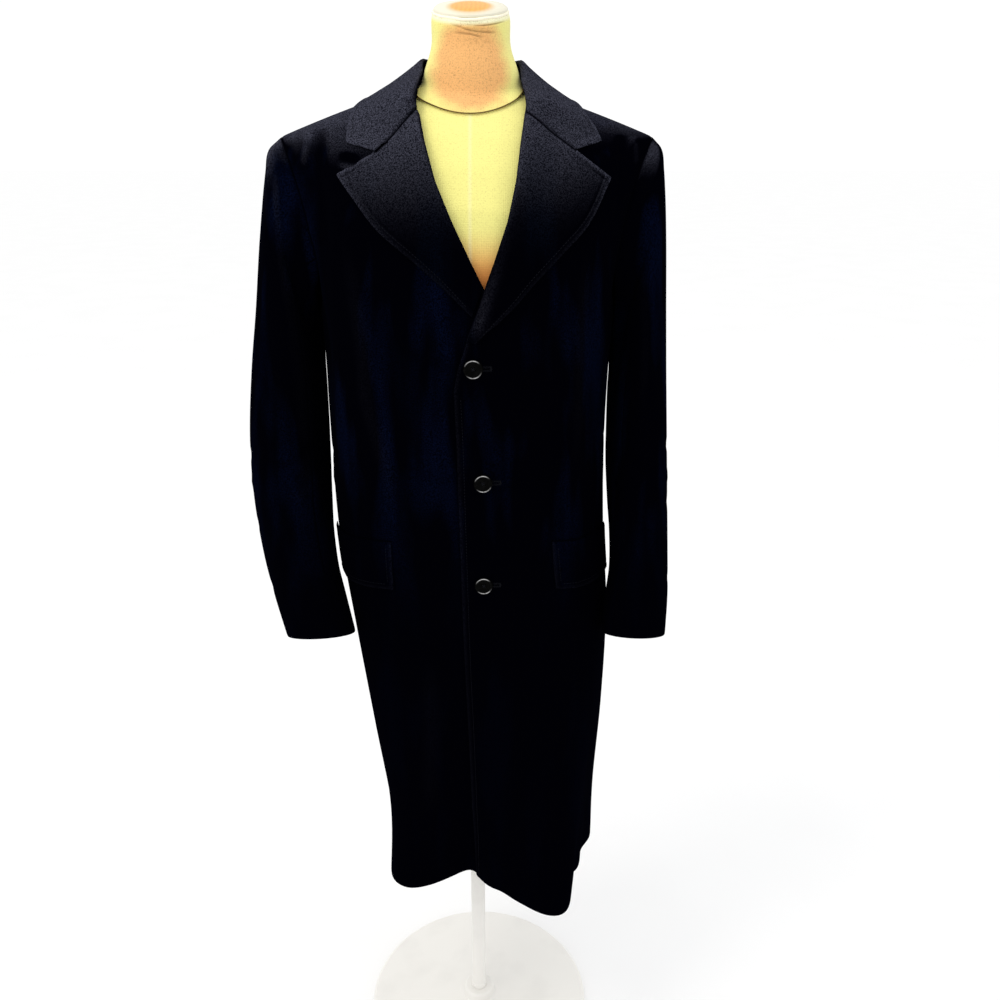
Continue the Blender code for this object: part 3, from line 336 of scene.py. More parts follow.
@dataclass(frozen=True)
class Crease:
    """One soft ridge, or trough where its height is negative, drawn on one side of the coat."""

    view: View
    line: Points
    width: float
    height: float

    def lift(self, point: Array, normal: Array) -> Array:
        """How far the crease moves the cloth out at each point."""
        way, axes = self.view.value
        flat = point[..., axes]
        line = smooth(np.array(self.line, float), np.linspace(0, len(self.line) - 1, 4 * len(self.line)))
        lift = np.zeros(point.shape[:-1])
        low, high = line.min(axis=0) - self.width, line.max(axis=0) + self.width
        near = ((flat > low) & (flat < high)).all(axis=-1) & (normal @ np.array(way, float) > 0.02)
        if not near.any():
            return lift
        spot, start, step = flat[near], line[:-1], np.diff(line, axis=0)
        reach = spot[:, None] - start
        share = np.clip((reach * step).sum(-1) / np.maximum((step * step).sum(-1), 1e-12), 0, 1)
        gap = np.linalg.norm(reach - share[..., None] * step, axis=-1)
        nearest = gap.argmin(axis=1)
        pick = np.arange(len(spot))
        place = (nearest + share[pick, nearest]) / len(step)
        across = np.cos(np.clip(gap[pick, nearest] / self.width, 0, 1) * math.pi / 2) ** 2
        along = np.clip(np.minimum(place, 1 - place) * 4 + 0.02, 0, 1) ** 0.7
        facing = ease_in((normal[near] @ np.array(way, float)) / 0.5)
        lift[near] = self.height * across * along * facing
        return lift


def strokes(view: View, *lines: tuple) -> tuple[Crease, ...]:
    """Creases of one view, each given in mm: its width, its height and the points of its line."""
    return tuple(Crease(view, tuple((x / 1000, z / 1000) for x, z in points), width / 1000, height / 1000)
                 for width, height, *points in lines)


@dataclass(frozen=True)
class CreaseMap:
    """Every crease of the coat, read off its hang on the form, uneven in length, depth and spacing."""

    creases: tuple[Crease, ...] = (
        strokes(View.FRONT,
            # Fronts: the band beside the armholes, and its sharp line below the waist
            (22, 4, (-156, 1427), (-143, 1362), (-134, 1287), (-133, 1222), (-120, 1168), (-109, 1112),
             (-108, 1054)),
            (7, 1.6, (-107, 1058), (-110, 938), (-119, 774), (-126, 650)),
            (16, 3.2, (148, 1422), (143, 1350), (141, 1274), (141, 1195), (142, 1112)),
            (6, 1.6, (138, 1174), (143, 1034), (147, 880), (151, 712), (152, 621)),
            (20, -4, (-181, 1464), (-191, 1391), (-192, 1302), (-191, 1208)),
            (30, -3, (-85, 1313), (-86, 1223), (-82, 1114)),
            (26, -2.2, (104, 1331), (108, 1236), (102, 1141)),
            (30, 3, (-61, 862), (-64, 690), (-71, 520)),
            (28, -3, (68, 846), (86, 660), (103, 480)),
            (20, -1.8, (-24, 905), (-18, 760), (-22, 610)),
            (18, 1.4, (40, 930), (36, 800), (41, 655)),
            # Armhole heads
            (17, -5.6, (-190, 1545), (-188, 1504), (-184, 1462), (-182, 1405)),
            (10, -3.4, (-158, 1511), (-134, 1507)),
            (12, 2.6, (-203, 1540), (-207, 1498)),
            (12, -3.4, (194, 1538), (192, 1490), (186, 1436)),
            (10, 1.8, (211, 1536), (212, 1498)),
            # Drag lines from the buttons
            (10, -1.3, (-6, 1262), (-45, 1272), (-93, 1291)),
            (9, -1.1, (20, 1259), (58, 1268), (92, 1285)),
            (9, -1, (4, 1106), (-38, 1112), (-78, 1126)),
            (10, -1.2, (31, 1106), (71, 1099), (110, 1104)),
            (8, -0.8, (4, 954), (-35, 943), (-60, 924)),
            # Sleeves from the front
            (10, 2.8, (-247, 1508), (-245, 1452), (-241, 1388), (-236, 1322)),
            (20, 3, (-235, 1402), (-232, 1313), (-228, 1232), (-227, 1162), (-230, 1104), (-247, 997)),
            (16, -2.4, (-264, 1335), (-276, 1227), (-283, 1097)),
            (14, 2.4, (218, 1402), (230, 1300), (230, 1176)),
            (13, -2, (246, 1352), (252, 1241), (250, 1120)),
            (10, -2.2, (-219, 1141), (-249, 1119), (-283, 1124)),
            (9, 1.6, (-214, 1087), (-243, 1072), (-271, 1081)),
            (10, -1.6, (-206, 952), (-230, 932), (-262, 938)),
            (10, -2, (208, 1132), (234, 1110), (262, 1117)),
            (9, 1.4, (211, 1069), (236, 1058), (258, 1069)),
            (10, -1.5, (206, 940), (232, 921), (266, 929)))
        + strokes(View.BACK,
            # Back: off the shoulder blades, into the waist and down the skirt
            (26, -3.4, (-118, 1476), (-113, 1392), (-101, 1300), (-98, 1214)),
            (24, -3, (112, 1468), (104, 1371), (100, 1262)),
            (18, 3, (-154, 1438), (-149, 1352), (-137, 1251)),
            (20, 3.4, (150, 1444), (142, 1341), (136, 1226), (139, 1118)),
            (9, -1.2, (-34, 1548), (1, 1539), (37, 1550)),
            (28, 2.8, (-50, 1236), (-55, 1139), (-64, 985), (-71, 801)),
            (26, -2.6, (44, 1196), (53, 1049), (58, 862)),
            (24, 2.4, (92, 944), (101, 766), (110, 575)),
            (22, -2.2, (-112, 901), (-120, 722), (-124, 560)),
            (16, -2.2, (-246, 1374), (-256, 1262), (-262, 1151)),
            (15, 2.2, (226, 1366), (240, 1248), (243, 1138)))
        + strokes(View.LEFT,
            # Side of the left sleeve: off the head, round the elbow and above the cuff
            (16, -2, (-50, 1452), (-62, 1380), (-71, 1291)),
            (18, 2.2, (20, 1446), (14, 1350), (-4, 1243)),
            (11, -1.3, (-104, 1151), (-66, 1133), (-18, 1146)),
            (12, 0.9, (-111, 1112), (-78, 1091), (-41, 1097)),
            (12, -0.9, (-112, 1062), (-71, 1052), (-34, 1066)),
            (12, -0.8, (-131, 956), (-98, 942), (-66, 951)))
        + strokes(View.RIGHT,
            # Side of the right sleeve
            (18, -2.4, (-44, 1460), (-55, 1371), (-69, 1284), (-80, 1212)),
            (17, 2.4, (24, 1431), (12, 1322), (-8, 1214)),
            (14, -1.3, (-108, 1139), (-64, 1119), (-12, 1128)),
            (12, 1, (-102, 1094), (-66, 1079), (-26, 1089)),
            (12, -0.8, (-118, 1033), (-84, 1021), (-49, 1032)),
            (12, -0.9, (-132, 948), (-101, 931), (-69, 944)))
    )

    def lift(self, point: Array, normal: Array) -> Array:
        """How far all creases together move the cloth out at each point."""
        total = np.zeros(point.shape[:-1])
        for crease in self.creases:
            total += crease.lift(point, normal)
        return total


class Edge(Enum):
    """How a border of a cloth piece is finished."""

    TURNED = "turned edge with a row of stitching inside it"
    SOFT = "turned edge with no stitching that shows"
    SEAM = "joined to the next piece"


@dataclass(frozen=True)
class EdgeSizes:
    """Sizes of the edges and seams of heavy felted cloth."""

    stitch_in: float = 0.008
    stitch_width: float = 0.0016
    stitch_depth: float = 0.00045
    swell: float = 0.0002
    seam_dip: float = 0.001
    seam_width: float = 0.0026
    turned: tuple[float, ...] = (0.0012, 0.0024, 0.004, 0.0056, 0.0068, 0.0076, 0.0084, 0.0093, 0.0108, 0.0135)
    soft: tuple[float, ...] = (0.0012, 0.0024, 0.0045, 0.008)
    seam: tuple[float, ...] = (0.0, 0.001, 0.002, 0.0032, 0.005, 0.008)

    def places(self, edge: Edge) -> Array:
        """Distances from a border at which the cloth gets a line of points."""
        return np.array({Edge.TURNED: self.turned, Edge.SOFT: self.soft, Edge.SEAM: self.seam}[edge])

    def relief(self, edge: Edge, away: Array) -> Array:
        """Height of the cloth by its distance from a border."""
        if edge == Edge.SEAM:
            return -self.seam_dip * np.exp(-(away / self.seam_width) ** 2)
        if edge == Edge.SOFT:
            return -0.0004 * np.exp(-(away / 0.002) ** 2)
        groove = -self.stitch_depth * np.exp(-((away - self.stitch_in) / self.stitch_width) ** 2)
        swell = self.swell * np.exp(-((away - self.stitch_in / 2) / 0.003) ** 2)
        return groove + swell - 0.0003 * np.exp(-(away / 0.0018) ** 2)


EDGES = EdgeSizes()


def spread(length: float, first: Edge, last: Edge, step: float) -> Array:
    """Places along a line, close together near both borders and even between them."""
    start, end = EDGES.places(first), EDGES.places(last)
    limit = 0.45 * length
    start, end = start * min(1, limit / start[-1]), end * min(1, limit / end[-1])
    count = max(2, round((length - start[-1] - end[-1]) / step))
    middle = np.linspace(start[-1], length - end[-1], count + 1)[1:-1]
    return np.concatenate([start, middle, length - end[::-1]])


@dataclass
class ClothPiece:
    """A piece of cloth as rows and columns of its outer face, made into a wall of its own thickness."""

    name: str
    nodes: tuple[str, ...]
    point: Array
    normal: Array
    thickness: float
    left: Edge
    right: Edge
    bottom: Edge
    top: Edge
    flat: Span
    area: float
    rests_on: tuple[str, ...] = ("form_torso",)
    fade: Array | None = None
    stitched: tuple[str, ...] = ()
    # Band of painted highlight that the piece carries, if any
    worn: Array | None = None
    free: dict[str, Array] | None = None
    pressed: float = 0.0
    press_width: float = 0.03
    # Depth of a crease's trough at which its painted shade is full
    soil_and_shade: float = 0.0045
    # Distances over which a seam's painted shade and an edge's rubbed nap and painted highlight fade
    shade_width: float = 0.0017
    wear_width: float = 0.003

    def distances(self) -> dict[str, Array]:
        """Distance of every point from each border of the piece."""
        across, up = walk(self.point), walk(self.point.swapaxes(0, 1)).T
        return {"left": across, "right": across[:, -1:] - across, "bottom": up, "top": up[-1:] - up}

    def loose(self, border: str) -> Array:
        """Share by which each point's place along a seamed border is free instead."""
        share = np.asarray((self.free or {}).get(border, 0.0))
        return np.broadcast_to(share if border in ("bottom", "top") else share[..., None], self.point.shape[:2])

    def relief(self, creases: CreaseMap) -> Pair:
        """Height of the creases, and of the edges and seams, over the piece."""
        big = creases.lift(self.point, self.normal)
        small = np.zeros(big.shape)
        for border, away in self.distances().items():
            height, loose = EDGES.relief(getattr(self, border), away), self.loose(border)
            height = height * (1 - loose) + EDGES.relief(Edge.TURNED, away) * loose
            if self.fade is not None and border == "left":
                height = height * self.fade[:, None]
            small += height
        return big, small

    def outer(self, creases: CreaseMap) -> Pair:
        """Outer and inner faces of the finished wall."""
        big, small = self.relief(creases)
        small = small - self.press()
        outside = self.point + self.normal * (big + small)[..., None]
        inside = self.point + self.normal * (big - self.press() - self.thickness)[..., None]
        return outside, inside

    def press(self) -> Array | float:
        """How far the piece is pressed down towards its outer edge."""
        return self.pressed * (1 - ease_in(self.distances()["right"] / self.press_width)) if self.pressed else 0.0

    def wear(self, creases: CreaseMap) -> dict[str, Array]:
        """Shares of painted shade in the seams and crease troughs, and of painted highlight on the crease ridges,
        on the turned edges, where the nap is also rubbed, and in any band of it that the piece carries.
        """
        hollow, rubbed = np.zeros(self.point.shape[:2]), np.zeros(self.point.shape[:2])
        # Seams get painted shade; turned edges get rubbed nap and a painted highlight
        for border, away in self.distances().items():
            edge = getattr(self, border)
            turned = self.loose(border) if edge == Edge.SEAM else 1.0
            hollow = np.maximum(hollow, (1 - turned) * np.exp(-(away / self.shade_width) ** 2))
            if edge != Edge.SOFT:
                rubbed = np.maximum(rubbed, turned * np.exp(-(away / self.wear_width) ** 2))
        lift = creases.lift(self.point, self.normal)
        # Painted shade in the troughs of the creases
        hollow = np.maximum(hollow, np.clip(-lift / self.soil_and_shade, 0, 1))
        # Painted highlight on the ridges of the creases
        rubbed = np.maximum(rubbed, 0.6 * np.clip(lift / 0.0035 - 0.35, 0, 1))
        # The piece's own band of painted highlight
        if self.worn is not None:
            rubbed = np.maximum(rubbed, self.worn)
        return {"hollow": hollow, "rubbed": rubbed}

    def border(self) -> list[tuple[int, int]]:
        """Rows and columns of the border, once round."""
        rows, across = self.point.shape[:2]
        line = [(0, c) for c in range(across)]
        line += [(r, across - 1) for r in range(1, rows)]
        line += [(rows - 1, c) for c in range(across - 2, -1, -1)]
        return line + [(r, 0) for r in range(rows - 2, 0, -1)]

    def build(self, creases: CreaseMap) -> Object:
        """Makes the wall, with its free edges rounded over.

        Args:
            creases: the creases of the whole coat.

        Returns:
            The piece's object, at the origin.
        """
        outside, inside = self.outer(creases)
        rows, across = outside.shape[:2]
        count = rows * across
        line = self.border()
        index = np.array([r * across + c for r, c in line])
        points = [outside.reshape(-1, 3), inside.reshape(-1, 3)]
        outer_rim, inner_rim = points[0][index], points[1][index]
        middle, half = (outer_rim + inner_rim) / 2, (outer_rim - inner_rim) / 2
        way, round_over = np.zeros(middle.shape), np.zeros(len(line))
        inward = {"left": (0, 1), "right": (0, -1), "bottom": (1, 0), "top": (-1, 0)}
        loose = {border: self.loose(border) for border in inward}
        for k, (r, c) in enumerate(line):
            held = {"left": c == 0, "right": c == across - 1, "bottom": r == 0, "top": r == rows - 1}
            for border, on in held.items():
                if on and (getattr(self, border) != Edge.SEAM or loose[border][r, c] > 0.5):
                    down, over = inward[border]
                    step = self.point[r, c] - self.point[r + down, c + over]
                    way[k] += step / max(np.linalg.norm(step), 1e-9)
                    round_over[k] = self.thickness * 0.46
        way = unit(way) * round_over[:, None]
        for turn in (45, 90, 135):
            cosine, sine = math.cos(math.radians(turn)), math.sin(math.radians(turn))
            points.append(middle + half * cosine + way * sine)
        rings = [index] + [2 * count + i * len(line) + np.arange(len(line)) for i in range(3)] + [count + index]
        cell = (np.arange(rows - 1)[:, None] * across + np.arange(across - 1)).ravel()
        quads = np.stack([cell, cell + 1, cell + across + 1, cell + across], axis=1)
        faces = [quads, quads[:, ::-1] + count]
        for near, far in zip(rings, rings[1:]):
            faces.append(np.stack([np.roll(near, -1), near, far, np.roll(far, -1)], axis=1))
        mesh = bpy.data.meshes.new(self.name)
        mesh.from_pydata(np.concatenate(points).tolist(), [], np.concatenate(faces).tolist())
        for kind, share in self.wear(creases).items():
            flat = share.ravel()
            layer = mesh.attributes.new(kind, "FLOAT", "POINT")
            layer.data.foreach_set("value", np.concatenate([flat, flat] + [flat[index]] * 3))
        shape = bmesh.new()
        shape.from_mesh(mesh)
        bmesh.ops.recalc_face_normals(shape, faces=shape.faces)
        shape.to_mesh(mesh)
        shape.free()
        mesh.shade_smooth()
        mesh.set_sharp_from_angle(angle=math.radians(50))
        return put(self.name, mesh)

    def stitch_line(self, border: str, creases: CreaseMap) -> Pair:
        """The line of stitching inside one border, and the cloth's normals along it."""
        outside, _ = self.outer(creases)
        at = int(np.abs(EDGES.places(Edge.TURNED) - EDGES.stitch_in).argmin())
        pick = {"left": (slice(None), at), "right": (slice(None), -1 - at),
                "bottom": (at, slice(None)), "top": (-1 - at, slice(None))}[border]
        return outside[pick], self.normal[pick]

    def stitch_span(self, border: str, line: Array) -> slice:
        """The stretch of a stitched line that is sewn, clear of the corners and of where it fades."""
        if self.fade is not None and border == "left":
            sewn = np.flatnonzero(self.fade > 0.5)
            return slice(int(sewn[0]) + 1, int(sewn[-1]) + 1)
        length = walk(line[None])[0]
        inside = np.flatnonzero((length >= EDGES.stitch_in) & (length <= length[-1] - EDGES.stitch_in))
        return slice(int(inside[0]), int(inside[-1]) + 1)


# Pattern pieces of the coat
@dataclass(frozen=True)
class Panels:
    """Fronts and backs, cut from the hem to the shoulder."""

    body: CoatBody = CoatBody()
    step: float = 0.0062
    row_step: float = 0.055
    hem_rows: tuple[float, ...] = (0.0095, 0.019, 0.035, 0.065)
    top_rows: tuple[float, ...] = (11.86, 11.93, 11.965, 11.985, 11.9985)
    stitch_top: Span = (1.215, 1.255)
    areas: Spot = (0.377, 0.35, 0.318)

    def rows(self) -> Array:
        """Rows of a panel, closer together at the hem and the shoulder."""
        middle = np.arange(0.11, 11.8, self.row_step)
        return np.concatenate([self.hem_rows, middle, self.top_rows])

    def lay(self, side: Side, rows: Array, first: Array, last: Array, front: bool,
            edges: tuple[Edge, Edge]) -> Pair:
        """Points and normals of a panel between two lines of turns.

        Args:
            side: the wearer's side.
            rows: the rows of the panel.
            first: turn of its first border at each row.
            last: turn of its last border at each row.
            front: whether it is a front.
            edges: finish of the first and last borders.

        Returns:
            The grid of points and the grid of normals.
        """
        share = np.linspace(0, 1, 160)
        turn = first[:, None] + (last - first)[:, None] * share
        length = walk(self.body.point(turn, rows[:, None] + 0 * turn))
        widest = float(length[:, -1].max())
        even = spread(widest, *edges, self.step)
        picked = []
        for line, walked in zip(turn, length):
            total = walked[-1]
            near_start, near_end = EDGES.places(edges[0]), EDGES.places(edges[1])
            free = len(even) - len(near_start) - len(near_end)
            shrink = min(1.0, 0.4 * total / (near_start[-1] + near_end[-1]))
            near_start, near_end = near_start * shrink, near_end * shrink
            middle = np.linspace(near_start[-1], total - near_end[-1], free + 2)[1:-1]
            at = np.concatenate([near_start, middle, total - near_end[::-1]])
            picked.append(np.interp(at, walked, line))
        turn = np.array(picked)
        row = rows[:, None] + 0 * turn
        if front:
            return self.body.skin(side, turn, row)
        return self.body.point(turn, row), self.body.normal(turn, row)

    def front(self, side: Side) -> ClothPiece:
        """Front panel, with its stitched edge below the break of the lapel."""
        rows, body = self.rows(), self.body
        first = body.turn_at(body.edge_x(side, rows), rows)
        last = body.armhole_turn(side, "front", rows)
        point, normal = self.lay(side, rows, first, last, True, (Edge.TURNED, Edge.SEAM))
        fade = 1 - ease_in((point[:, 0, 2] - self.stitch_top[0]) / (self.stitch_top[1] - self.stitch_top[0]))
        flat, area = ((0.355, 1.31), self.areas[0]) if side == Side.RIGHT else ((0.38, 1.3), self.areas[1])
        return ClothPiece(
            f"front_panel_{side.word}", (f"front_{side.word}",), point, normal, body.cloth, Edge.TURNED,
            Edge.SEAM, Edge.SOFT, Edge.SEAM, flat, area, fade=fade, stitched=("left",))

    def back(self, side: Side) -> ClothPiece:
        """Back panel, joined to its pair down the centre back."""
        rows, body = self.rows(), self.body
        neck = np.interp(rows, body.back_neck["row"], body.back_neck["turn"])
        first = side.value * (180 - neck)
        last = body.armhole_turn(side, "back", rows)
        point, normal = self.lay(side, rows, first, last, False, (Edge.SEAM, Edge.SEAM))
        return ClothPiece(
            f"back_panel_{side.word}", (f"back_{side.word}",), point, normal, body.cloth, Edge.SEAM,
            Edge.SEAM, Edge.SOFT, Edge.SEAM, (0.28, 1.325), self.areas[2])


@dataclass(frozen=True)
class Sleeves:
    """Set-in sleeves of two pieces, from the armhole to the cuff."""

    body: CoatBody = CoatBody()
    cloth: float = 0.0026
    right_rings: Table = Table(("outer", "outer_z", "inner", "inner_z", "fore", "depth", "tilt", "twist"), (
        (0.2605, 1.5215, 0.2095, 1.262, -0.006, 0.072, 0, 0),
        (0.2655, 1.5, 0.21, 1.245, -0.007, 0.0765, 1, 0),
        (0.2735, 1.456, 0.21, 1.222, -0.009, 0.079, 2, -2),
        (0.2815, 1.404, 0.209, 1.19, -0.013, 0.078, 4, -4),
        (0.292, 1.323, 0.2075, 1.145, -0.021, 0.073, 7, -7),
        (0.304, 1.238, 0.2065, 1.096, -0.032, 0.069, 9, -10),
        (0.3125, 1.145, 0.2055, 1.042, -0.046, 0.066, 12, -13),
        (0.312, 1.06, 0.2035, 0.996, -0.06, 0.063, 15, -16),
        (0.3025, 0.978, 0.197, 0.95, -0.077, 0.059, 18, -18),
        (0.289, 0.914, 0.186, 0.908, -0.092, 0.055, 20, -20),
        (0.2725, 0.851, 0.1735, 0.856, -0.106, 0.051, 20, -22)))
    left_rings: Table = Table(("outer", "outer_z", "inner", "inner_z", "fore", "depth", "tilt", "twist"), (
        (0.2495, 1.522, 0.1955, 1.262, -0.006, 0.072, 0, 0),
        (0.2535, 1.5, 0.1955, 1.245, -0.007, 0.0765, 1, 0),
        (0.258, 1.456, 0.195, 1.222, -0.009, 0.0795, 2, -2),
        (0.2615, 1.404, 0.1935, 1.19, -0.013, 0.08, 4, -4),
        (0.2655, 1.323, 0.193, 1.145, -0.021, 0.078, 7, -7),
        (0.2695, 1.238, 0.193, 1.096, -0.032, 0.0765, 9, -10),
        (0.274, 1.145, 0.196, 1.042, -0.046, 0.074, 12, -13),
        (0.278, 1.06, 0.1995, 0.996, -0.06, 0.07, 15, -16),
        (0.2815, 0.978, 0.1995, 0.95, -0.077, 0.064, 18, -18),
        (0.2835, 0.914, 0.1935, 0.905, -0.092, 0.058, 20, -20),
        (0.2815, 0.854, 0.19, 0.856, -0.106, 0.053, 20, -22)))
    seams: tuple[int, int] = (5, 24)
    evening_rings: int = 4
    head_blend: float = 0.35
    gap: float = 0.0003
    step: float = 0.0058
    down_step: float = 0.085
    top_area: float = 0.147
    under_area: float = 0.071

    def loop(self, side: Side, spot: Array) -> tuple[Array, Array, Array]:
        """Armhole edge: its points, the coat's normals and the way out of the panels, by place round it."""
        body, levels = self.body, self.body.armhole["row"]
        last = len(levels) - 1

        def edge(at: Array) -> Pair:
            """Points and normals of the armhole edge."""
            at = at % (2 * last)
            row = np.interp(np.minimum(at, 2 * last - at), np.arange(last + 1), levels)
            front = body.armhole_turn(side, "front", row)
            turn = np.where(at <= last, front, body.armhole_turn(side, "back", row))
            return body.point(turn, row), body.normal(turn, row)

        point, normal = edge(spot)
        tangent = edge(spot + 0.25)[0] - edge(spot - 0.25)[0]
        return point, normal, side.value * unit(np.cross(tangent, normal))

    def rings(self, side: Side, spot: Array) -> Array:
        """Rings of a sleeve at places round it, from the armhole to the cuff."""
        table = self.right_rings if side == Side.RIGHT else self.left_rings
        around = 2 * (len(self.body.armhole.rows) - 1)
        every, _, _ = self.loop(side, np.arange(around, dtype=float))
        loop, _, way_out = self.loop(side, spot)
        high, low, fore, aft = every[:, 2].max(), every[:, 2].min(), every[:, 1].max(), every[:, 1].min()
        even = spot * 2 * math.pi / around
        angle_of = np.arctan2(-(loop[:, 1] - (fore + aft) / 2) / ((fore - aft) / 2),
                              -(loop[:, 2] - (high + low) / 2) / ((high - low) / 2))
        angle_of = angle_of + 2 * math.pi * np.round((even - angle_of) / (2 * math.pi))
        rings = [loop + way_out * self.gap / 2]
        for i, (outer_x, outer_z, inner_x, inner_z, fore, depth, tilt, twist) in enumerate(table.rows):
            share = min((i + 1) / self.evening_rings, 1)
            angle = angle_of + (even - angle_of) * share + math.radians(twist)
            outer = np.array([side.value * outer_x, fore, outer_z])
            inner = np.array([side.value * inner_x, fore, inner_z])
            lean = math.radians(tilt)
            forward = depth * np.array([0, -math.cos(lean), math.sin(lean)])
            centre, across = (outer + inner) / 2, (outer - inner) / 2
            rings.append(centre - np.cos(angle)[:, None] * across + np.sin(angle)[:, None] * forward)
        return np.array(rings)

    def surface(self, side: Side, spot: Array, down: Array) -> Pair:
        """Points and normals of a sleeve.

        Args:
            side: the wearer's side.
            spot: places round the sleeve, one for each column.
            down: places down the sleeve, counted in rings, one for each row.

        Returns:
            The grid of points and the grid of normals.
        """
        point = smooth(self.rings(side, spot), down)
        over = smooth(self.rings(side, spot + 0.15), down) - smooth(self.rings(side, spot - 0.15), down)
        rings = self.rings(side, spot)
        along = smooth(rings, np.minimum(down + 0.08, 11)) - smooth(rings, np.maximum(down - 0.08, 0))
        normal = unit(np.cross(over, along)) * -side.value
        _, coat_out, way_out = self.loop(side, spot)
        across_seam = np.maximum((normal[0] * way_out).sum(axis=1), 0)[:, None]
        beside = unit(normal[0] - across_seam * way_out)
        share = ease_in((beside * coat_out).sum(axis=1)[:, None] / self.head_blend)
        head = unit(beside + (coat_out - beside) * share)
        blend = ease_in(down / 0.5)[:, None, None]
        return point, unit(head + (normal - head) * blend)

    def piece(self, side: Side, top: bool) -> ClothPiece:
        """Top sleeve or under sleeve, between the front and back seams."""
        around = 2 * (len(self.body.armhole.rows) - 1)
        first, last = self.seams if top else (self.seams[1], self.seams[0] + around)
        dense = np.linspace(first, last, 120)
        half_way = smooth(self.rings(side, dense), np.array([6.0]))
        walked = walk(half_way)[0]
        spot = np.interp(spread(walked[-1], Edge.SEAM, Edge.SEAM, self.step), walked, dense)
        down = np.concatenate([[0, 0.015, 0.04, 0.08, 0.14], np.arange(0.22, 10.75, self.down_step),
                               [10.84, 10.91, 10.955, 10.98]])
        point, normal = self.surface(side, spot, down)
        point, normal = point[::-1], normal[::-1]
        word = "top" if top else "under"
        size, area = ((0.3, 0.71), self.top_area) if top else ((0.2, 0.63), self.under_area)
        return ClothPiece(
            f"{word}_sleeve_cloth_{side.word}", (f"{word}_sleeve_{side.word}",), point, normal, self.cloth,
            Edge.SEAM, Edge.SEAM, Edge.SOFT, Edge.SEAM, size, area,
            rests_on=(f"front_panel_{side.word}", f"back_panel_{side.word}"))


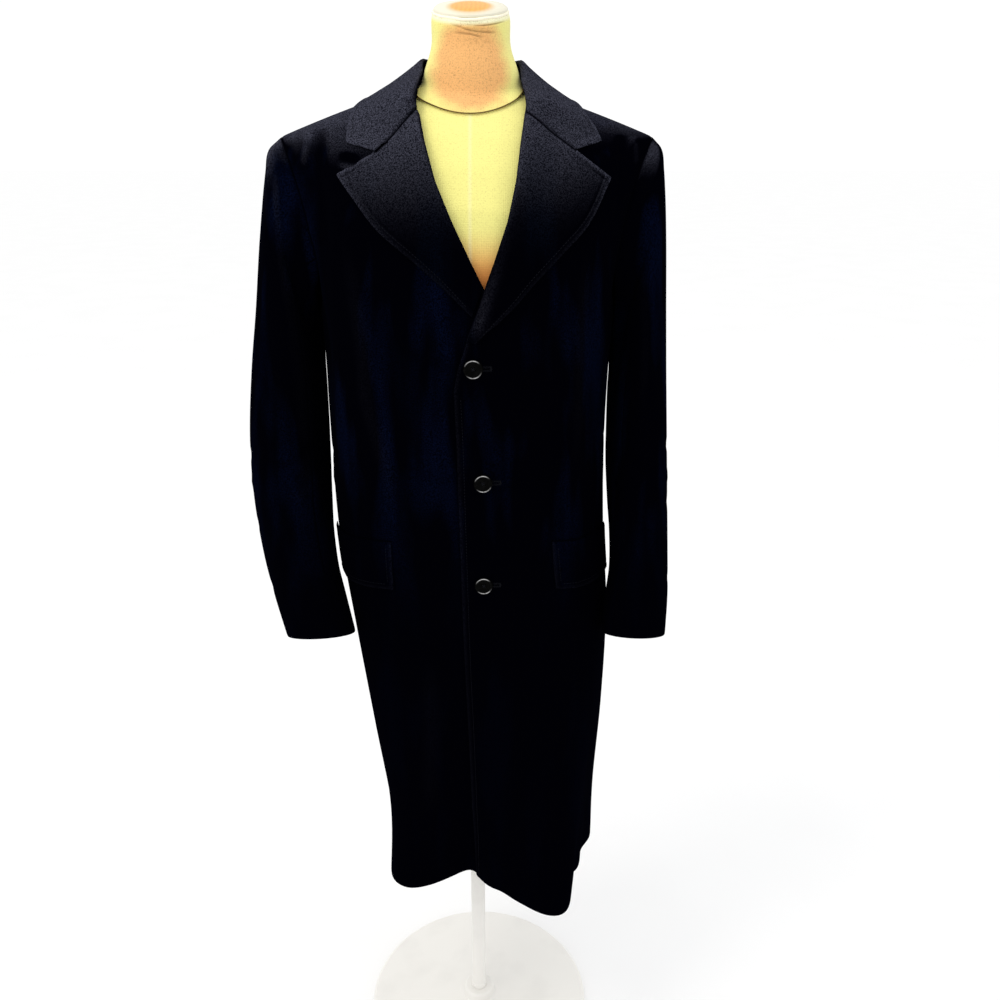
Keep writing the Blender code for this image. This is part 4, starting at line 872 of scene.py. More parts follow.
@dataclass(frozen=True)
class Lapels:
    """Lapels turned back over the fronts along their roll lines."""

    body: CoatBody = CoatBody()
    lay: float = 0.0015
    seam_lift: float = 0.0005
    right_edge: Points = (
        (0.004, 1.331), (-0.03, 1.364), (-0.065, 1.3945), (-0.109, 1.43), (-0.14, 1.467),
        (-0.1605, 1.492))
    left_edge: Points = (
        (0.01, 1.2975), (0.02, 1.3075), (0.058, 1.343), (0.0855, 1.373), (0.117, 1.4045),
        (0.149, 1.438), (0.176, 1.488))
    right_notch: Span = (-0.108, 1.519)
    left_notch: Span = (0.129, 1.521)
    right_rows: Span = (7.02, 9.9)
    left_rows: Span = (6.3, 9.9)
    notch_share: float = 0.55
    notch_rise: int = 5
    roll_height: Span = (0.005, 0.008)
    roll: Table = Table(("inset", "rise"), ((0.0008, 0.0), (0.0003, 0.5), (0.0026, 0.92), (0.008, 1.0)))
    roll_share: float = 0.45
    settle_share: float = 0.8
    settle_length: float = 0.05
    gorge_shares: tuple[float, ...] = (0.25, 0.6, 1.0)
    free_shares: tuple[float, ...] = (0.5, 1.0)
    # The left lapel's roll carries a painted highlight over its lowest 45 percent, in a band 9 mm either side of 10
    # mm in
    roll_highlight: float = 4.2
    worn_share: float = 0.45
    worn_band: Span = (0.01, 0.009)
    step: float = 0.0055
    # The free edge is this much longer than the roll's height, and its shortest part past the notch is 4 mm
    edge_length: float = 1.16
    least_tail: float = 0.004
    tail_columns: int = 22

    def insets(self, to_notch: float, beyond: float) -> Array:
        """Distances from the roll of the lapel's nine main lines."""
        roll = self.roll["inset"] * min(1, self.roll_share * to_notch / self.roll["inset"][-1])
        flat = np.concatenate([roll[-1] + (to_notch - roll[-1]) * np.array(self.gorge_shares),
                               to_notch + beyond * np.array(self.free_shares)])
        return np.concatenate([roll, flat])

    def turned_row(self, side: Side, line: Array, height: float, at: Array) -> Array:
        """Cross-section of a lapel: up from the panel's edge, over, and down to lie on the panel.

        Args:
            side: the wearer's side.
            line: x and z of the roll, the notch and the free edge.
            height: how high the roll stands.
            at: places across, counted in the lapel's nine main lines.

        Returns:
            The points of the cross-section.
        """
        start, notch, end = line
        to_notch, beyond = np.linalg.norm(notch - start), np.linalg.norm(end - notch)
        insets = self.insets(to_notch, beyond)
        count = len(self.roll.rows)
        first = insets[count - 1]
        away = np.where(at < count - 1, smooth(insets[:count], np.minimum(at, count - 1)),
                        np.interp(at, np.arange(len(insets)), insets))
        settle = min(self.settle_length, self.settle_share * (to_notch + beyond))
        fall = height + (self.lay + self.body.cloth - height) * ease_in((away - first) / (settle - first))
        roll = smooth(np.maximum(self.roll["rise"] * height, self.seam_lift), np.minimum(at, count - 1))
        rise = np.where(at < count - 1, np.maximum(roll, self.seam_lift), fall)
        spot = along_line(line, away / (to_notch + beyond))
        point, normal = self.body.skin(side, *self.body.front_spot(spot[:, 0], spot[:, 1]))
        return point + normal * rise[:, None]

    def line(self, side: Side, row: float, share: float, end: Array) -> tuple[Array, float]:
        """X and z of the roll, notch and edge at a row, and how high the roll stands there."""
        start = self.body.roll_spot(side, row)
        notch = self.right_notch if side == Side.RIGHT else self.left_notch
        straight = start + (end - start) * self.notch_share
        bend = straight + (np.array(notch) - straight) * share ** self.notch_rise
        return np.array([start, bend, end]), self.roll_height[0] + (self.roll_height[1] - self.roll_height[0]) * share

    def piece(self, side: Side) -> ClothPiece:
        """Lapel from the break to the gorge seam."""
        low, high = self.right_rows if side == Side.RIGHT else self.left_rows
        edge = np.array(self.right_edge if side == Side.RIGHT else self.left_edge)
        knots = np.linspace(0, len(edge) - 1, 90)
        curve = smooth(edge, knots)
        length = self.body.roll_spot(side, high)[1] - self.body.roll_spot(side, low)[1]
        edge_length = self.edge_length * length
        place = np.concatenate([[0.0], spread(edge_length, Edge.SOFT, Edge.TURNED, self.step)]) / edge_length
        place[0], place[-1] = 0.0, 1 - 0.0004 / length
        at = np.concatenate([np.linspace(0, 3, 11)[:-1], np.linspace(3, 6, 15)[:-1]])
        grid = []
        for share in place:
            row = low + (high - low) * share
            end = along_line(curve, [share])[0]
            line, height = self.line(side, row, share, end)
            to_notch, beyond = (np.linalg.norm(line[k + 1] - line[k]) for k in (0, 1))
            insets = self.insets(to_notch, beyond)
            tail = spread(max(beyond, self.least_tail), Edge.SOFT, Edge.TURNED, self.step)
            tail = np.interp(np.linspace(0, 1, self.tail_columns), np.linspace(0, 1, len(tail)), tail) + insets[6]
            tail = np.minimum(tail * (insets[-1] / max(tail[-1], insets[-1])), insets[-1] - 0.0008)
            across = np.concatenate([at, np.interp(tail, insets, np.arange(9.0))])
            grid.append(self.turned_row(side, line, height, across))
        point = np.array(grid)
        normal = grid_normals(point, side.value)
        worn = None
        # Painted highlight along the left lapel's roll, low down
        if side == Side.LEFT:
            band = np.exp(-((walk(point) - self.worn_band[0]) / self.worn_band[1]) ** 2)
            worn = self.roll_highlight * (ease_in(place / 0.1) * (1 - ease_in(place / self.worn_share)))[:, None] * band
        size, area = ((0.14, 0.25), 0.0186) if side == Side.RIGHT else ((0.14, 0.3), 0.0214)
        return ClothPiece(
            f"lapel_cloth_{side.word}", (f"lapel_{side.word}",), point, normal, self.body.cloth, Edge.SEAM,
            Edge.TURNED, Edge.SOFT, Edge.SEAM, size, area, rests_on=(f"front_panel_{side.word}",),
            stitched=("right",), free={"top": (across > 6.1).astype(float)}, worn=worn)


@dataclass(frozen=True)
class Collar:
    """Collar with a stand and a fall, from one gorge round the neck to the other."""

    body: CoatBody = CoatBody()
    lapels: Lapels = Lapels()
    lines: Table = Table(("neck_row", "fold_x", "fold_y", "fold_z", "edge_turn", "edge_row"), (
        (9.9, 0.059, -0.064, 1.569, 35.3, 9.6), (10.75, 0.0625, -0.033, 1.598, 34.5, 10.7),
        (12.0, 0.06, 0.008, 1.622, 32.0, 12.0), (13.25, 0.046, 0.049, 1.6245, 29.0, 13.6),
        (13.8, 0.0, 0.07, 1.624, 0.0, 14.8), (14.35, -0.046, 0.049, 1.6245, -29.0, 13.6)))
    shift: float = 0.0025
    right_in: float = 0.0035
    turn_shift: float = 1.1
    lift: float = 0.0009
    right_corner: Span = (-0.15, 1.53)
    left_corner: Span = (0.1655, 1.5315)
    rows: tuple[float, ...] = (9.9, 10.2, 10.45, 10.75, 11.2, 12.0, 12.8, 13.25, 13.55, 13.8)
    air: float = 0.0026
    stand_height: float = 0.034
    least_stand: float = 0.0088
    bend: Table = Table(("out", "up"), ((0.0, -0.0022), (0.007, 0.0004)))
    shares: tuple[float, ...] = (0.16, 0.36, 0.58, 0.8, 1.0)
    # Lengths of the two handles of the fall's curve, by its reach, and how far the upper one drops
    handles: Span = (0.27, 0.36)
    drop: Span = (0.42, 0.35)
    end_rows: tuple[float, ...] = (0.004, 0.03, 0.07, 0.12, 0.18, 0.25, 0.33, 0.42, 0.52, 0.64, 0.76, 0.88)
    row_step: float = 0.14
    notch_blend: float = 0.004
    # The cross-section is read in 129 columns, and the fold ends at the 48th
    columns: int = 129
    fold_column: int = 48
    stand_points: int = 16
    fall_points: int = 30

    def spot(self, side: Side, turn: float, row: float) -> Pair:
        """Point and normal off the centre, on rows that run over the shoulder and down the back."""
        over = self.body.shoulder_row
        at_turn = side.value * (180 - turn if row > over else turn)
        at_row = 2 * over - row if row > over else row
        return self.body.point(at_turn, at_row), self.body.normal(at_turn, at_row)

    def seat(self, points: Array, samples: Pair) -> Array:
        """Moves points out until each lies clear of the coat."""
        seated = points.copy()
        for _ in range(2):
            for i, point in enumerate(seated):
                nearest = ((samples[0] - point) ** 2).sum(axis=1).argmin()
                above = (point - samples[0][nearest]) @ samples[1][nearest]
                seated[i] = point + samples[1][nearest] * max(0.0, self.air + self.body.cloth - above)
        return seated

    def neck_turn(self, side: Side, row: float) -> float:
        """Turn off the centre of the neckline."""
        if row > self.body.shoulder_row:
            neck = self.body.back_neck
            return float(np.interp(2 * self.body.shoulder_row - row, neck["row"], neck["turn"]))
        return float(side.value * self.body.turn_at(self.body.edge_x(side, row), row))

    def gorge(self, side: Side, at: Array) -> Array:
        """First cross-section of the collar, along the lapel to the notch and on to the corner."""
        lapels = self.lapels
        notch = lapels.right_notch if side == Side.RIGHT else lapels.left_notch
        corner = self.right_corner if side == Side.RIGHT else self.left_corner
        line = np.array([self.body.roll_spot(side, self.rows[0]), notch, corner])
        return lapels.turned_row(side, line, lapels.roll_height[1], at)

    def section(self, side: Side, row: float, first: Array, samples: Pair) -> Array:
        """Nine points of the collar's cross-section at a row of the neckline: stand, fold and fall."""
        table = {name: self.lines[name] for name in self.lines.names}
        corner = self.right_corner if side == Side.RIGHT else self.left_corner
        corner_turn, corner_row = self.body.front_spot(*corner)
        fold_x, fold_y, fold_z = first[2] - [self.shift, 0, 0]
        table["fold_x"][0], table["fold_y"][0], table["fold_z"][0] = side.value * fold_x, fold_y, fold_z
        nearer = self.right_in if side == Side.RIGHT else 0.0
        table["fold_x"] = table["fold_x"] + side.value * self.shift
        table["fold_x"][1] -= nearer
        table["fold_x"][2] -= 0.3 * nearer
        table["edge_turn"] = table["edge_turn"] + side.value * self.turn_shift
        table["edge_turn"][0], table["edge_row"][0] = side.value * corner_turn, corner_row
        step = np.interp(row, table["neck_row"], np.arange(len(table["neck_row"])))
        now = {name: float(smooth(column, step)) for name, column in table.items()}
        neck = np.array([self.neck_turn(side, row), row])
        path = neck + (np.array([now["edge_turn"], now["edge_row"]]) - neck) * np.array(self.shares)[:, None]
        foot, foot_normal = self.spot(side, *neck)
        bottom = foot + foot_normal * self.lift
        fold = np.array([side.value * now["fold_x"], now["fold_y"], now["fold_z"]])
        fold += foot_normal * max(0, self.least_stand - (fold - bottom) @ foot_normal)
        end_point, end_normal = self.spot(side, *path[-1])
        before_end, _ = self.spot(side, *((path[-1] + path[-2]) / 2))
        end = end_point + end_normal * (self.air + self.body.cloth)
        up = unit(fold - bottom)
        out = unit((end - fold) - up * ((end - fold) @ up))
        bend = [fold + out * o + up * u for o, u in self.bend.rows]
        reach = np.linalg.norm(end - bend[-1])
        tall = min(1, np.linalg.norm(fold - bottom) / self.stand_height) ** 2
        fell, led = self.drop
        away = unit(end - fold) * (1 - led * tall) - up * fell * tall + out * led * (1 - tall)
        handles = [bend[-1], bend[-1] + away * reach * self.handles[0],
                   end + unit(before_end - end_point) * reach * self.handles[1], end]
        fall = []
        for share in self.shares:
            rest = 1 - share
            weights = (rest**3, 3 * rest * rest * share, 3 * rest * share * share, share**3)
            fall.append(sum(w * h for w, h in zip(weights, handles)))
        fall = self.seat(np.array(fall), samples)
        return np.array([bottom, bottom + (fold - bottom) * 0.5] + bend + list(fall))

    def piece(self) -> ClothPiece:
        """The whole collar, smooth through its main sections."""
        turn, row = np.meshgrid(np.arange(-180, 180, 3.0), np.arange(6, 12.05, 0.1))
        samples = (self.body.point(turn, row).reshape(-1, 3), self.body.normal(turn, row).reshape(-1, 3))
        halves = {}
        for side in Side:
            first = self.gorge(side, np.arange(9.0))
            halves[side] = [first] + [self.section(side, row, first, samples) for row in self.rows[1:]]
        back = (halves[Side.RIGHT][-1] + halves[Side.LEFT][-1]) / 2
        coarse = np.array(halves[Side.RIGHT][:-1] + [back] + halves[Side.LEFT][-2::-1])
        last = len(coarse) - 1
        start = np.array(self.end_rows)
        at = np.concatenate([start, np.arange(1, last - 0.99, self.row_step), last - start[::-1]])
        across = np.linspace(0, 8, self.columns)
        grid = smooth(smooth(coarse, at).swapaxes(0, 1), across).swapaxes(0, 1)
        for side, rows in ((Side.RIGHT, at), (Side.LEFT, last - at)):
            exact = self.gorge(side, across)
            found = smooth(coarse[0 if side == Side.RIGHT else -1], across)
            grid += (exact - found) * (1 - ease_in(rows / 1.0))[:, None, None]
        picked = []
        walked = walk(grid)
        for line, length in zip(grid, walked):
            total = length[-1]
            stand = length[self.fold_column] / total
            places = np.concatenate([
                [0.0004], np.linspace(0.0018, stand * total, self.stand_points)[:-1],
                np.linspace(stand * total, total - EDGES.turned[-1], self.fall_points)[:-1],
                total - np.array(EDGES.turned)[::-1]])
            picked.append(read(line, length, places))
        point = np.array(picked)
        normal = grid_normals(point, Side.RIGHT.value)
        length = walk(point)
        free = {border: ease_in((length[end] - np.interp(6.0, across, walked[end])) / self.notch_blend + 0.5)
                for border, end in (("bottom", 0), ("top", -1))}
        return ClothPiece(
            "collar_cloth", ("collar",), point, normal, self.body.cloth, Edge.SEAM, Edge.TURNED, Edge.SEAM,
            Edge.SEAM, (0.6, 0.15), 0.059, rests_on=("front_panel_left", "front_panel_right", "back_panel_left"),
            stitched=("right",), free=free, pressed=0.0016)


@dataclass(frozen=True)
class Flaps:
    """Pocket flaps hanging from their seams on the sides of the fronts."""

    body: CoatBody = CoatBody()
    cloth: float = 0.0026
    lay: Span = (0.0009, 0.0018)
    columns: Span = (4.8, 9.8)
    lap_column: int = 2
    ridge_column: int = 6
    side_column: int = 12
    top: Span = (1.0215, 1.009)
    drop: float = 0.074
    step: float = 0.005

    def piece(self, side: Side) -> ClothPiece:
        """One flap, from its lower edge up to its seam."""
        body = self.body
        other = Side.LEFT if side == Side.RIGHT else Side.RIGHT
        column = np.linspace(*self.columns, 60)
        share = np.linspace(0, 1, 60)
        rows = np.linspace(3.0, 5.6, 400)
        level_z = smooth(body.levels["centre_z"], rows)
        hang = 1 - spread(self.drop, Edge.TURNED, Edge.SEAM, self.step) / self.drop
        points, normals = [], []
        ridge = 0 if side == Side.LEFT else 1
        ridge_turns = [body.folds[f"turn_{k}"][ridge] for k in range(4)]
        for down in hang:
            row = np.interp(self.top[0] + (self.top[1] - self.top[0]) * share - self.drop * down, level_z, rows)
            edge, far = side.value * body.edge_x(side, row), side.value * body.edge_x(other, row)
            lap = body.turn_at(np.maximum(far, edge + body.least_lap) * side.value, row)
            fold, seam = np.interp(row, body.fold_rows, ridge_turns), body.armhole_turn(side, "front", row)
            near = (column - self.lap_column) / (self.ridge_column - self.lap_column)
            past = (column - self.ridge_column) / (self.side_column - self.ridge_column)
            turn = np.where(past < 0, lap + (fold - lap) * near, fold + (seam - fold) * past)
            point, normal = body.skin(side, turn, row)
            rise = self.lay[0] + (self.lay[1] - self.lay[0]) * down + self.cloth
            line = point + normal * rise
            length = walk(line[None])[0]
            places = spread(length[-1], Edge.TURNED, Edge.TURNED, self.step)
            if points and len(places) != len(points[0]):
                places = np.interp(np.linspace(0, 1, len(points[0])), np.linspace(0, 1, len(places)), places)
            points.append(read(line, length, places))
            normals.append(unit(read(normal, length, places)))
        return ClothPiece(
            f"flap_cloth_{side.word}", (f"pocket_flap_{side.word}",), np.array(points), np.array(normals),
            self.cloth, Edge.TURNED, Edge.TURNED, Edge.TURNED, Edge.SEAM, (0.136, 0.074), 0.0098,
            rests_on=(f"front_panel_{side.word}",), stitched=("left", "right", "bottom"))


# Sewing, buttons, form and stand
def pick_out(piece: Object | None = None) -> None:
    """Deselects every object, and selects a piece if one is given."""
    for thing in bpy.context.selected_objects:
        thing.select_set(False)
    if piece:
        piece.select_set(True)
        bpy.context.view_layer.objects.active = piece


def apply_modifiers(piece: Object) -> None:
    """Applies all modifiers of a piece in their order."""
    pick_out(piece)
    for modifier in list(piece.modifiers):
        bpy.ops.object.modifier_apply(modifier=modifier.name)


def turn_on_lathe(name: str, profile: Points, segments: int, bevel: float,
                  steps: int = 2) -> Object:
    """Turns a round piece: a disc is extruded and sized ring by ring, and its edges are eased.

    Args:
        name: the piece's name.
        profile: radius and height of each ring, from the underside to the middle of the top.
        segments: sides of the round.
        bevel: how far the edges are eased.
        steps: rows of faces on each eased edge.

    Returns:
        The turned piece, on the vertical axis.
    """
    pick_out()
    radius, height = profile[0]
    bpy.ops.mesh.primitive_circle_add(vertices=segments, radius=radius, fill_type="NGON", location=(0, 0, height))
    piece = bpy.context.active_object
    piece.name = piece.data.name = name
    bpy.ops.object.transform_apply(location=True, rotation=True, scale=True)
    bpy.ops.object.mode_set(mode="EDIT")
    bpy.ops.mesh.select_all(action="SELECT")
    for (before, low), (after, high) in zip(profile, profile[1:]):
        bpy.ops.mesh.extrude_region_move(TRANSFORM_OT_translate={"value": (0, 0, high - low)})
        if abs(after - before) > 1e-9:
            bpy.ops.transform.resize(value=(after / before, after / before, 1), center_override=(0, 0, high))
    bpy.ops.mesh.select_all(action="SELECT")
    bpy.ops.mesh.normals_make_consistent(inside=False)
    bpy.ops.object.mode_set(mode="OBJECT")
    ease = piece.modifiers.new("eased_edges", "BEVEL")
    ease.width, ease.segments, ease.limit_method, ease.angle_limit = bevel, steps, "ANGLE", EASED_ANGLE
    apply_modifiers(piece)
    bpy.ops.object.shade_smooth_by_angle(angle=SMOOTH_ANGLE)
    return piece


def turned_to(axis: Array, twist: float) -> Matrix:
    """Turn of the vertical axis to another one, after a twist in degrees."""
    return Vector(axis).to_track_quat("Z", "Y").to_matrix().to_4x4() @ Matrix.Rotation(math.radians(twist), 4, "Z")


def place(piece: Object, point: Array, axis: Array, twist: float = 0.0) -> None:
    """Puts a piece, made on the vertical axis, at a point with its top towards an axis."""
    piece.data.transform(Matrix.Translation(Vector(point)) @ turned_to(axis, twist))
    piece.data.update()


@dataclass(frozen=True)
class Thread:
    """Sewing thread: short round stitches, made once and copied along their lines."""

    length: float = 0.003
    radius: float = 0.00042
    pitch: float = 0.0044
    beside: float = 0.0012
    sunk: float = 0.00005
    plump: float = 1.3

    def one_stitch(self, length: float, radius: float) -> bpy.types.Mesh:
        """One stitch along X, thick in the middle and thin at both ends."""
        pick_out()
        bpy.ops.mesh.primitive_cylinder_add(vertices=6, radius=radius, depth=length, end_fill_type="NGON")
        stitch = bpy.context.active_object
        bpy.ops.object.mode_set(mode="EDIT")
        bpy.ops.mesh.select_all(action="SELECT")
        bpy.ops.mesh.bisect(plane_co=(0, 0, 0), plane_no=(0, 0, 1))
        bpy.ops.object.mode_set(mode="OBJECT")
        shape = stitch.data
        for vertex in shape.vertices:
            x, y, z = vertex.co
            thin = 0.55 if abs(z) > 0.4 * length else 1.0
            vertex.co = (z, x * thin, y * thin - (0.6 * radius if abs(z) > 0.4 * length else 0))
        shape.update()
        bpy.data.objects.remove(stitch)
        return shape

    def sew(self, name: str, spots: list[tuple[Array, Array, Array]], length: float | None = None,
            radius: float | None = None) -> Object:
        """Copies a stitch to every spot and joins them as one piece.

        Args:
            name: the piece's name.
            spots: the middle, the way along and the way out of each stitch.
            length: length of a stitch, if not the usual one.
            radius: radius of the thread, if not the usual one.

        Returns:
            The piece with all its stitches.
        """
        stitch = self.one_stitch(length or self.length, radius or self.radius)
        made = bmesh.new()
        for point, along, out in spots:
            out = unit(out - along * (out @ along))
            turned = Matrix(np.stack([along, np.cross(out, along), out], axis=1).tolist()).to_4x4()
            one = stitch.copy()
            one.transform(Matrix.Translation(Vector(point)) @ turned)
            made.from_mesh(one)
            bpy.data.meshes.remove(one)
        bmesh.ops.recalc_face_normals(made, faces=made.faces)
        mesh = bpy.data.meshes.new(name)
        made.to_mesh(mesh)
        made.free()
        bpy.data.meshes.remove(stitch)
        mesh.shade_smooth()
        return put(name, mesh)

    def run(self, line: Array, normals: Array) -> list[tuple[Array, Array, Array]]:
        """Spots of a row of stitches along a line on the cloth."""
        length = walk(line[None])[0]
        spots = []
        for at in np.arange(self.pitch, length[-1] - self.pitch / 2, self.pitch):
            here, ahead, back = (read(line, length, at + beside) for beside in (0, self.beside, -self.beside))
            out = unit(read(normals, length, at))
            spots.append((here + out * self.sunk, unit(ahead - back), out))
        return spots


@dataclass(frozen=True)
class ButtonSize:
    """One size of button: profile, holes, heights of the rim's painted highlight, face and thread."""

    profile: Points
    sides: int
    bevel: float
    hole: float
    apart: float
    rim: Span
    face: float
    thread: float


@dataclass(frozen=True)
class Buttons:
    """Front and cuff buttons, turned from dark resin, and the buttonholes worked beside them."""

    body: CoatBody = CoatBody()
    sleeves: Sleeves = Sleeves()
    thread: Thread = Thread()
    spots: Points = ((0.0055, 1.265), (0.017, 1.11), (0.017, 0.958))
    large: ButtonSize = ButtonSize(
        ((0.0108, 0.0), (0.0125, 0.0014), (0.0125, 0.0027), (0.0119, 0.0037), (0.011, 0.0039), (0.0103, 0.0036),
         (0.0092, 0.0027), (0.007, 0.0024), (0.0035, 0.0023)),
        sides=48, bevel=0.00018, hole=0.001, apart=0.0021, rim=(0.0036, 0.0039), face=0.0023, thread=0.00028)
    small: ButtonSize = ButtonSize(
        ((0.0064, 0.0), (0.0075, 0.001), (0.0075, 0.0022), (0.0069, 0.0029), (0.0062, 0.0029), (0.0054, 0.0021),
         (0.0022, 0.0019)),
        sides=36, bevel=0.00012, hole=0.00062, apart=0.0013, rim=(0.0026, 0.0029), face=0.0019, thread=0.0002)
    twist: float = 12.0
    seat: float = 0.0005
    cuff_shares: tuple[float, ...] = (0.16, 0.5, 0.84)
    cuff_ring: int = 8
    hole_reach: Span = (-0.004, 0.0215)
    hole_half: float = 0.0022
    hole_pitch: float = 0.00075
    hole_end: Span = (0.0016, 0.0027)
    hole_thread: Span = (0.003, 0.00024)

    def drill(self, button: Object, size: ButtonSize) -> None:
        """Drills the four sewing holes."""
        for sx in (-1, 1):
            for sy in (-1, 1):
                pick_out()
                bpy.ops.mesh.primitive_cylinder_add(
                    vertices=12, radius=size.hole, depth=0.02, location=(sx * size.apart, sy * size.apart, 0))
                drill = bpy.context.active_object
                bpy.ops.object.transform_apply(location=True, rotation=True, scale=True)
                cut = button.modifiers.new("hole", "BOOLEAN")
                cut.operation, cut.solver, cut.object = "DIFFERENCE", "EXACT", drill
                apply_modifiers(button)
                bpy.data.objects.remove(drill)

    def polish(self, button: Object, low: float, high: float) -> None:
        """Marks a painted highlight on the raised rim, by its height over the button's back, away from its X axis."""
        height = np.array([corner.co.z for corner in button.data.vertices])
        reach = np.array([math.hypot(corner.co.x, corner.co.y) for corner in button.data.vertices])
        beside = np.array([abs(corner.co.y) for corner in button.data.vertices]) / reach.max()
        share = ease_in((height - low) / (high - low)) * (reach > 0.6 * reach.max()) * ease_in(beside * 2 - 0.8)
        button.data.attributes.new("rim", "FLOAT", "POINT").data.foreach_set("value", share)

    def sewn_cross(self, name: str, point: Array, axis: Array, size: ButtonSize) -> Object:
        """Thread crossed over the middle of a button from hole to hole."""
        turned = turned_to(axis, self.twist)
        across, up, out = (np.array((turned @ Vector(way)).to_tuple()) for way in ((1, 0, 0), (0, 1, 0), (0, 0, 1)))
        spots = []
        for sign in (-1, 1):
            for beside in (-1, 0, 1):
                way = unit(across + up * sign)
                offset = np.cross(out, way) * beside * size.thread * self.thread.plump
                high = size.face + size.thread * (0.5 + 0.4 * (sign > 0))
                spots.append((np.array(point) + out * high + offset, way, out))
        return self.thread.sew(name, spots, length=2.9 * size.apart, radius=size.thread)

    def sewn(self, size: ButtonSize, names: tuple[str, str], at: Array, axis: Array) -> tuple[Object, Object]:
        """A button and its thread, seated on the cloth."""
        button = turn_on_lathe(names[0], size.profile, size.sides, size.bevel)
        self.drill(button, size)
        bpy.ops.object.shade_smooth_by_angle(angle=SMOOTH_ANGLE)
        self.polish(button, *size.rim)
        seated = at + axis * self.seat
        place(button, seated, axis, self.twist)
        return button, self.sewn_cross(names[1], seated, axis, size)

    def front(self, index: int) -> tuple[Object, Object]:
        """One front button and its thread."""
        point, normal = self.body.skin(Side.LEFT, *self.body.front_spot(*self.spots[index]))
        return self.sewn(self.large, (f"coat_button_{index + 1}", f"button_thread_{index + 1}"), point, normal)

    def cuff(self, side: Side, index: int) -> tuple[Object, Object]:
        """One cuff button and its thread, on the back seam of a sleeve."""
        spot = np.array([self.sleeves.seams[1] - 1.0])
        down = np.linspace(self.cuff_ring, 11, 60)
        point, normal = self.sleeves.surface(side, spot, np.concatenate([[0.0], down]))
        line, ways = point[1:, 0], normal[1:, 0]
        at = along_line(line, [self.cuff_shares[index]])[0]
        nearest = np.linalg.norm(line - at, axis=1).argmin()
        tag = f"{side.word}_{index + 1}"
        return self.sewn(self.small, (f"sleeve_button_{tag}", f"sleeve_button_thread_{tag}"), at, ways[nearest])

    def buttonhole(self, index: int) -> Object:
        """Close stitches worked round a slit in the left front, from under the button outwards."""
        x, z = self.spots[index]
        start, end = x + self.hole_reach[0], x + self.hole_reach[1]
        spots, outline = [], []
        for at in np.arange(start, end, self.hole_pitch):
            outline += [((at, z + self.hole_half), (0, 1)), ((at, z - self.hole_half), (0, -1))]
        for turn in np.arange(-75, 76, 15):
            way = (math.cos(math.radians(turn)), math.sin(math.radians(turn)))
            outline.append(((end + self.hole_end[0] * way[0], z + self.hole_end[1] * way[1]), way))
        for (sx, sz), (wx, wz) in outline:
            point, normal = self.body.skin(Side.LEFT, *self.body.front_spot(sx, sz))
            ahead, _ = self.body.skin(Side.LEFT, *self.body.front_spot(sx + wx * 0.002, sz + wz * 0.002))
            spots.append((point + normal * 0.00025, unit(ahead - point), normal))
        return self.thread.sew(f"buttonhole_{index + 1}", spots, *self.hole_thread)


